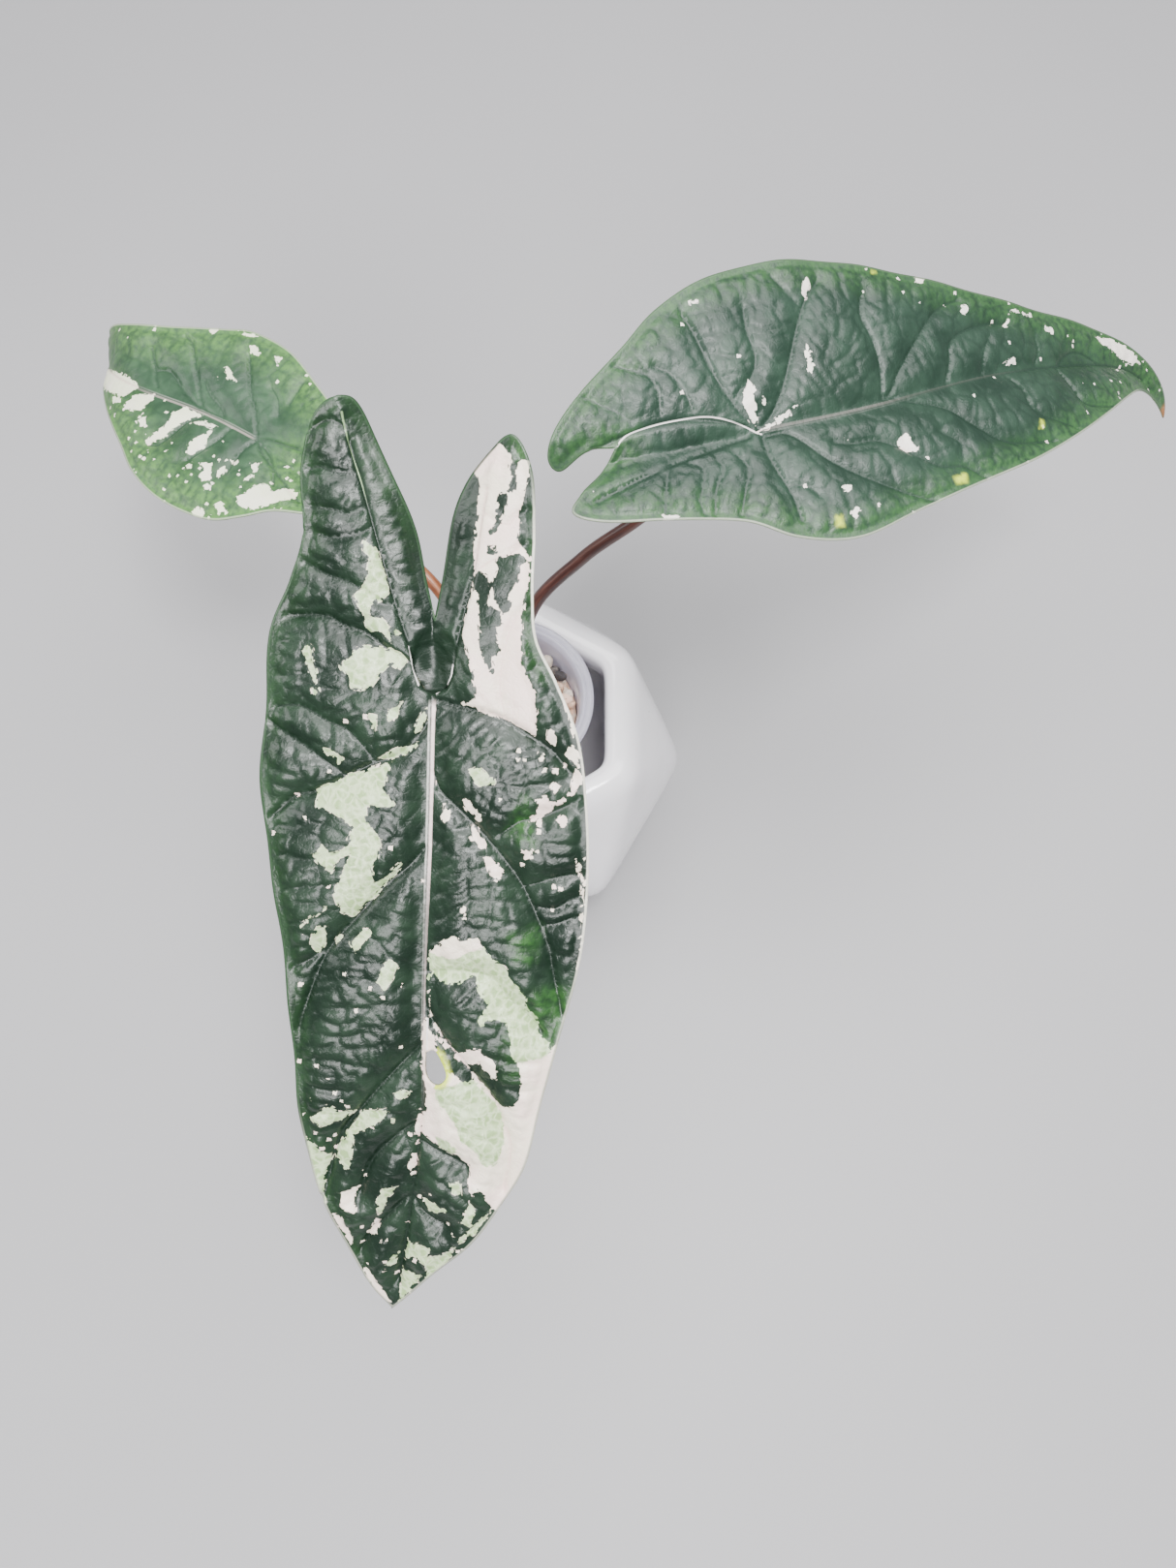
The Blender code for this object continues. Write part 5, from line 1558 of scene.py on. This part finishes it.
def make_cup(material):
    """The clear cup: foot, tapering wall and rolled rim, with drain holes in its floor."""
    top, rim = CUP_TOP_Z, CUP_RIM_RADIUS
    wall = ((CUP_BASE_RADIUS - 1.5, CUP_FOOT_Z), (CUP_BASE_RADIUS, CUP_FOOT_Z + 1.2),
            (CUP_THROAT_RADIUS, CUP_THROAT_Z), (CUP_THROAT_RADIUS + 0.8, top - 3.0))
    roll = ((rim - 1.0, top - 3.1), (rim - 0.1, top - 2.2), (rim - 0.2, top - 0.8), (rim - 1.2, top),
            (rim - 2.4, top - 0.25), (rim - 3.0, top - 0.7), (rim - 3.5, top - 0.35),
            (rim - 4.2, top - 0.6), (rim - 5.2, top - 2.2))
    inside = ((cup_wall_radius(top - 6.0), top - 6.0),
              (cup_wall_radius(CUP_FOOT_Z + 2.6), CUP_FOOT_Z + 2.6),
              (CUP_BASE_RADIUS - 3.2, CUP_FOOT_Z + CUP_WALL))
    profile = [*wall, *smooth_curve(roll, 44), *inside]
    cup = add_piece("inner_cup_skin", *turned(profile, CUP_SEGMENTS, CUP_AXIS), material,
                    ["inner_cup"], "clear_plastic")
    for k in range(DRAINS):
        drain_through(cup, 2 * math.pi * (k + 0.5) / DRAINS)


# Pumice, corm and roots
def pumice_material(name, stored_shade):
    """Porous stone in warm peach, pink and cream, with its pores darkened as painted shade."""
    net = Net(name)
    place = net.place()
    cloud = net.noise(place, 4.0, 4.0)
    if stored_shade:
        base = net.attribute("shade", "Color")
    else:
        base = net.mix(net.step(cloud, 0.4, 0.6), GRAIN_COLOURS[0], GRAIN_COLOURS[2])
    colour = net.tint(net.step(cloud, 0.45, 0.7), 0.3, base, GRAIN_DUST)
    heart, size = net.cells(place, 0.95)
    # Painted shade: the pits of the pores are darkened.
    pore = net.times(net.fade(heart, 0.10, 0.34), net.math("GREATER_THAN", size, 0.45))
    relief = net.math("SUBTRACT", net.noise(place, 0.8, 4.0), net.times(pore, 0.8))
    return net.finish(net.tint(pore, 0.65, colour, GRAIN_PORE_SHADE), 0.88, Normal=net.bump(relief, 0.35))


def rock(rng, size, seed):
    """A rough pebble: a ball of small faces, cut flat in places and then pitted."""
    shape = bmesh.new()
    bmesh.ops.create_icosphere(shape, subdivisions=3, radius=size / 2)
    points = np.array([tuple(vert.co) for vert in shape.verts])
    faces = [tuple(vert.index for vert in face.verts) for face in shape.faces]
    shape.free()
    for _ in range(GRAIN_FLATS):
        way = np.array([rng.uniform(-1, 1) for _ in range(3)])
        way /= np.linalg.norm(way)
        over = np.maximum(points @ way - rng.uniform(0.70, 0.90) * size / 2, 0.0)
        points = points - over[:, None] * way * 0.85
    points *= np.array((rng.uniform(0.9, 1.15), rng.uniform(0.75, 1.0), rng.uniform(0.7, 0.9)))
    rough = 1 + 0.07 * lumps(points, 1.6, seed) + 0.05 * lumps(points, 0.8, seed + 1)
    return points * rough[:, None], faces


def rotation(rng):
    """A random turn as a matrix."""
    return np.linalg.qr(np.array([[rng.gauss(0, 1) for _ in range(3)] for _ in range(3)]))[0]


def grain_spots(rng, inner, outer, gap, wanted):
    """Random places between two circles round the cup's axis, which keep a gap."""
    spots = []
    for _ in range(GRAIN_TRIES):
        radius, bearing = rng.uniform(inner, outer), rng.uniform(0, 2 * math.pi)
        spot = by_cup(radius, bearing, 0.0)[:2]
        if all(math.dist(spot, other) > gap for other in spots):
            spots.append(spot)
        if len(spots) == wanted:
            break
    return spots


def make_grains(material):
    """The loose grains at the top of the cup, settled in two layers round the crown."""
    rng = random.Random(GRAIN_SEED)
    bodies, faces, shades = [], [], []
    for height, inner, outer, size, wanted in GRAIN_LAYERS:
        for spot in grain_spots(rng, inner, outer, size * GRAIN_CLEARANCE, wanted):
            body, sides = rock(rng, size * rng.uniform(0.82, 1.12), len(bodies))
            body = body @ rotation(rng) + np.array((*spot, height + rng.uniform(-0.8, 0.8)))
            start = sum(len(other) for other in bodies)
            bodies.append(body)
            faces += [tuple(i + start for i in side) for side in sides]
            shade = np.array(rng.choices(GRAIN_COLOURS, weights=GRAIN_WEIGHTS)[0])
            shades.append(np.tile([*(shade * rng.uniform(0.85, 1.12)), 1.0], (len(body), 1)))
    nodes = [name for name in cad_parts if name.startswith("grain_")]
    piece = add_piece("loose_pumice", np.vstack(bodies), faces, material, nodes, "loose_pumice")
    layer = piece.data.attributes.new("shade", "FLOAT_COLOR", "POINT")
    layer.data.foreach_set("color", np.vstack(shades).astype(np.float32).ravel())


def corm_material():
    """Brown papery bark in rings."""
    net = Net("bark")
    place = net.place()
    torn = net.plus(net.height(place), net.times(net.noise(place, 3.0, 4.0), 3.0))
    rings = net.math("PINGPONG", torn, 1.3)
    fibres = net.noise(place, 0.9, 4.0)
    colour = net.mix(net.step(rings, 0.1, 1.1), BARK_DARK, BARK_BROWN)
    colour = net.tint(net.step(fibres, 0.5, 0.7), 0.5, colour, BARK_FIBRE)
    return net.finish(colour, 0.8, Normal=net.bump(net.plus(rings, fibres), 0.4))


def make_corm(material):
    """The corm, an egg with a flat crown, ringed by old leaf scars."""
    stops = [(CORM_RADIUS * math.cos(math.radians(d)),
              CORM_CENTRE_Z + CORM_HALF_HEIGHT * math.sin(math.radians(d))) for d in range(-80, 46, 5)]
    stops += [(CORM_RADIUS * 0.86, CROWN_Z - 1.2), (CORM_RADIUS * 0.83, CROWN_Z - 0.5),
              (CORM_RADIUS * 0.78, CROWN_Z - 0.1)]
    rings = []
    for radius, height in smooth_curve(stops, CORM_RINGS):
        scar = 0.25 * abs(math.sin(height * 1.25))
        ring = []
        for k in range(CORM_SEGMENTS):
            a = 2 * math.pi * k / CORM_SEGMENTS
            bump = 0.3 * noise.noise(Vector((math.cos(a) * 3, math.sin(a) * 3, height / 3)))
            ring.append(by_cup(max(radius - scar + bump - 0.15, 0.2), a, height))
        rings.append(ring)
    add_piece("corm_skin", *loft(rings), material, ["corm"], "corm_bark")


def root_material():
    """Cream root skin with brown patches."""
    net = Net("root_skin_look")
    place = net.place()
    colour = net.mix(net.step(net.noise(place, 3.0, 4.0), 0.4, 0.7), ROOT_CREAM, ROOT_BROWN)
    return net.finish(colour, 0.7, Normal=net.bump(net.noise(place, 0.6), 0.2))


def dress_kept_nodes():
    """Gives the CAD nodes that stay shown their full materials."""
    fill = pumice_material("packed_pumice", False)
    root = root_material()
    for name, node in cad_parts.items():
        if name == "pumice_fill":
            node.material_slots[0].material = fill
        elif name.startswith("root_"):
            node.material_slots[0].material = root


# Stage
def make_floor():
    """A plain pale floor."""
    corners = [(x * FLOOR_REACH, y * FLOOR_REACH, 0) for x, y in ((-1, -1), (1, -1), (1, 1), (-1, 1))]
    mesh = bpy.data.meshes.new("floor")
    mesh.from_pydata(corners, [], [(0, 1, 2, 3)])
    floor = bpy.data.objects.new("floor", mesh)
    bpy.context.scene.collection.objects.link(floor)
    net = Net("pale_floor")
    mesh.materials.append(net.finish(net.mix(net.noise(net.place(), 300.0), *FLOOR_GREYS), 0.6))


def make_lights():
    """Soft studio lights, and a pale sky."""
    for name, place, side, power in LIGHTS:
        data = bpy.data.lights.new(name, "AREA")
        data.shape = "SQUARE"
        data.size = side
        data.energy = power
        light = bpy.data.objects.new(name, data)
        light.location = place
        light.rotation_mode = "QUATERNION"
        light.rotation_quaternion = (LIGHT_TARGET - Vector(place)).to_track_quat("-Z", "Y")
        bpy.context.scene.collection.objects.link(light)
    world = bpy.data.worlds.new("studio")
    world.use_nodes = True
    background = world.node_tree.nodes["Background"]
    background.inputs["Color"].default_value = (*SKY, 1.0)
    background.inputs["Strength"].default_value = SKY_STRENGTH
    bpy.context.scene.world = world


def make_camera():
    """The camera at the photo's place and angle."""
    data = bpy.data.cameras.new("camera")
    data.lens = CAMERA_LENS
    data.sensor_width = CAMERA_SENSOR
    data.clip_start = CAMERA_NEAR
    camera = bpy.data.objects.new("camera", data)
    camera.location = CAMERA_PLACE
    camera.rotation_euler = (math.radians(90.0 - CAMERA_PITCH), 0.0, 0.0)
    bpy.context.scene.collection.objects.link(camera)
    bpy.context.scene.camera = camera


def build():
    """Makes every visual piece, the stage and the camera."""
    make_planter(planter_material())
    make_cup(cup_material())
    make_grains(pumice_material("loose_pumice_look", True))
    make_corm(corm_material())
    dress_kept_nodes()
    stalks = {"petiole_maroon": petiole_material("maroon_stalk", MAROON, MAROON_LIGHT),
              "petiole_orange": petiole_material("orange_stalk", ORANGE_BROWN, ORANGE_LIGHT)}
    for petiole in PETIOLES:
        make_petiole(petiole, stalks[petiole["slot"]])
    for leaf in LEAVES:
        make_blade(leaf)
    make_floor()
    make_lights()
    make_camera()


build()
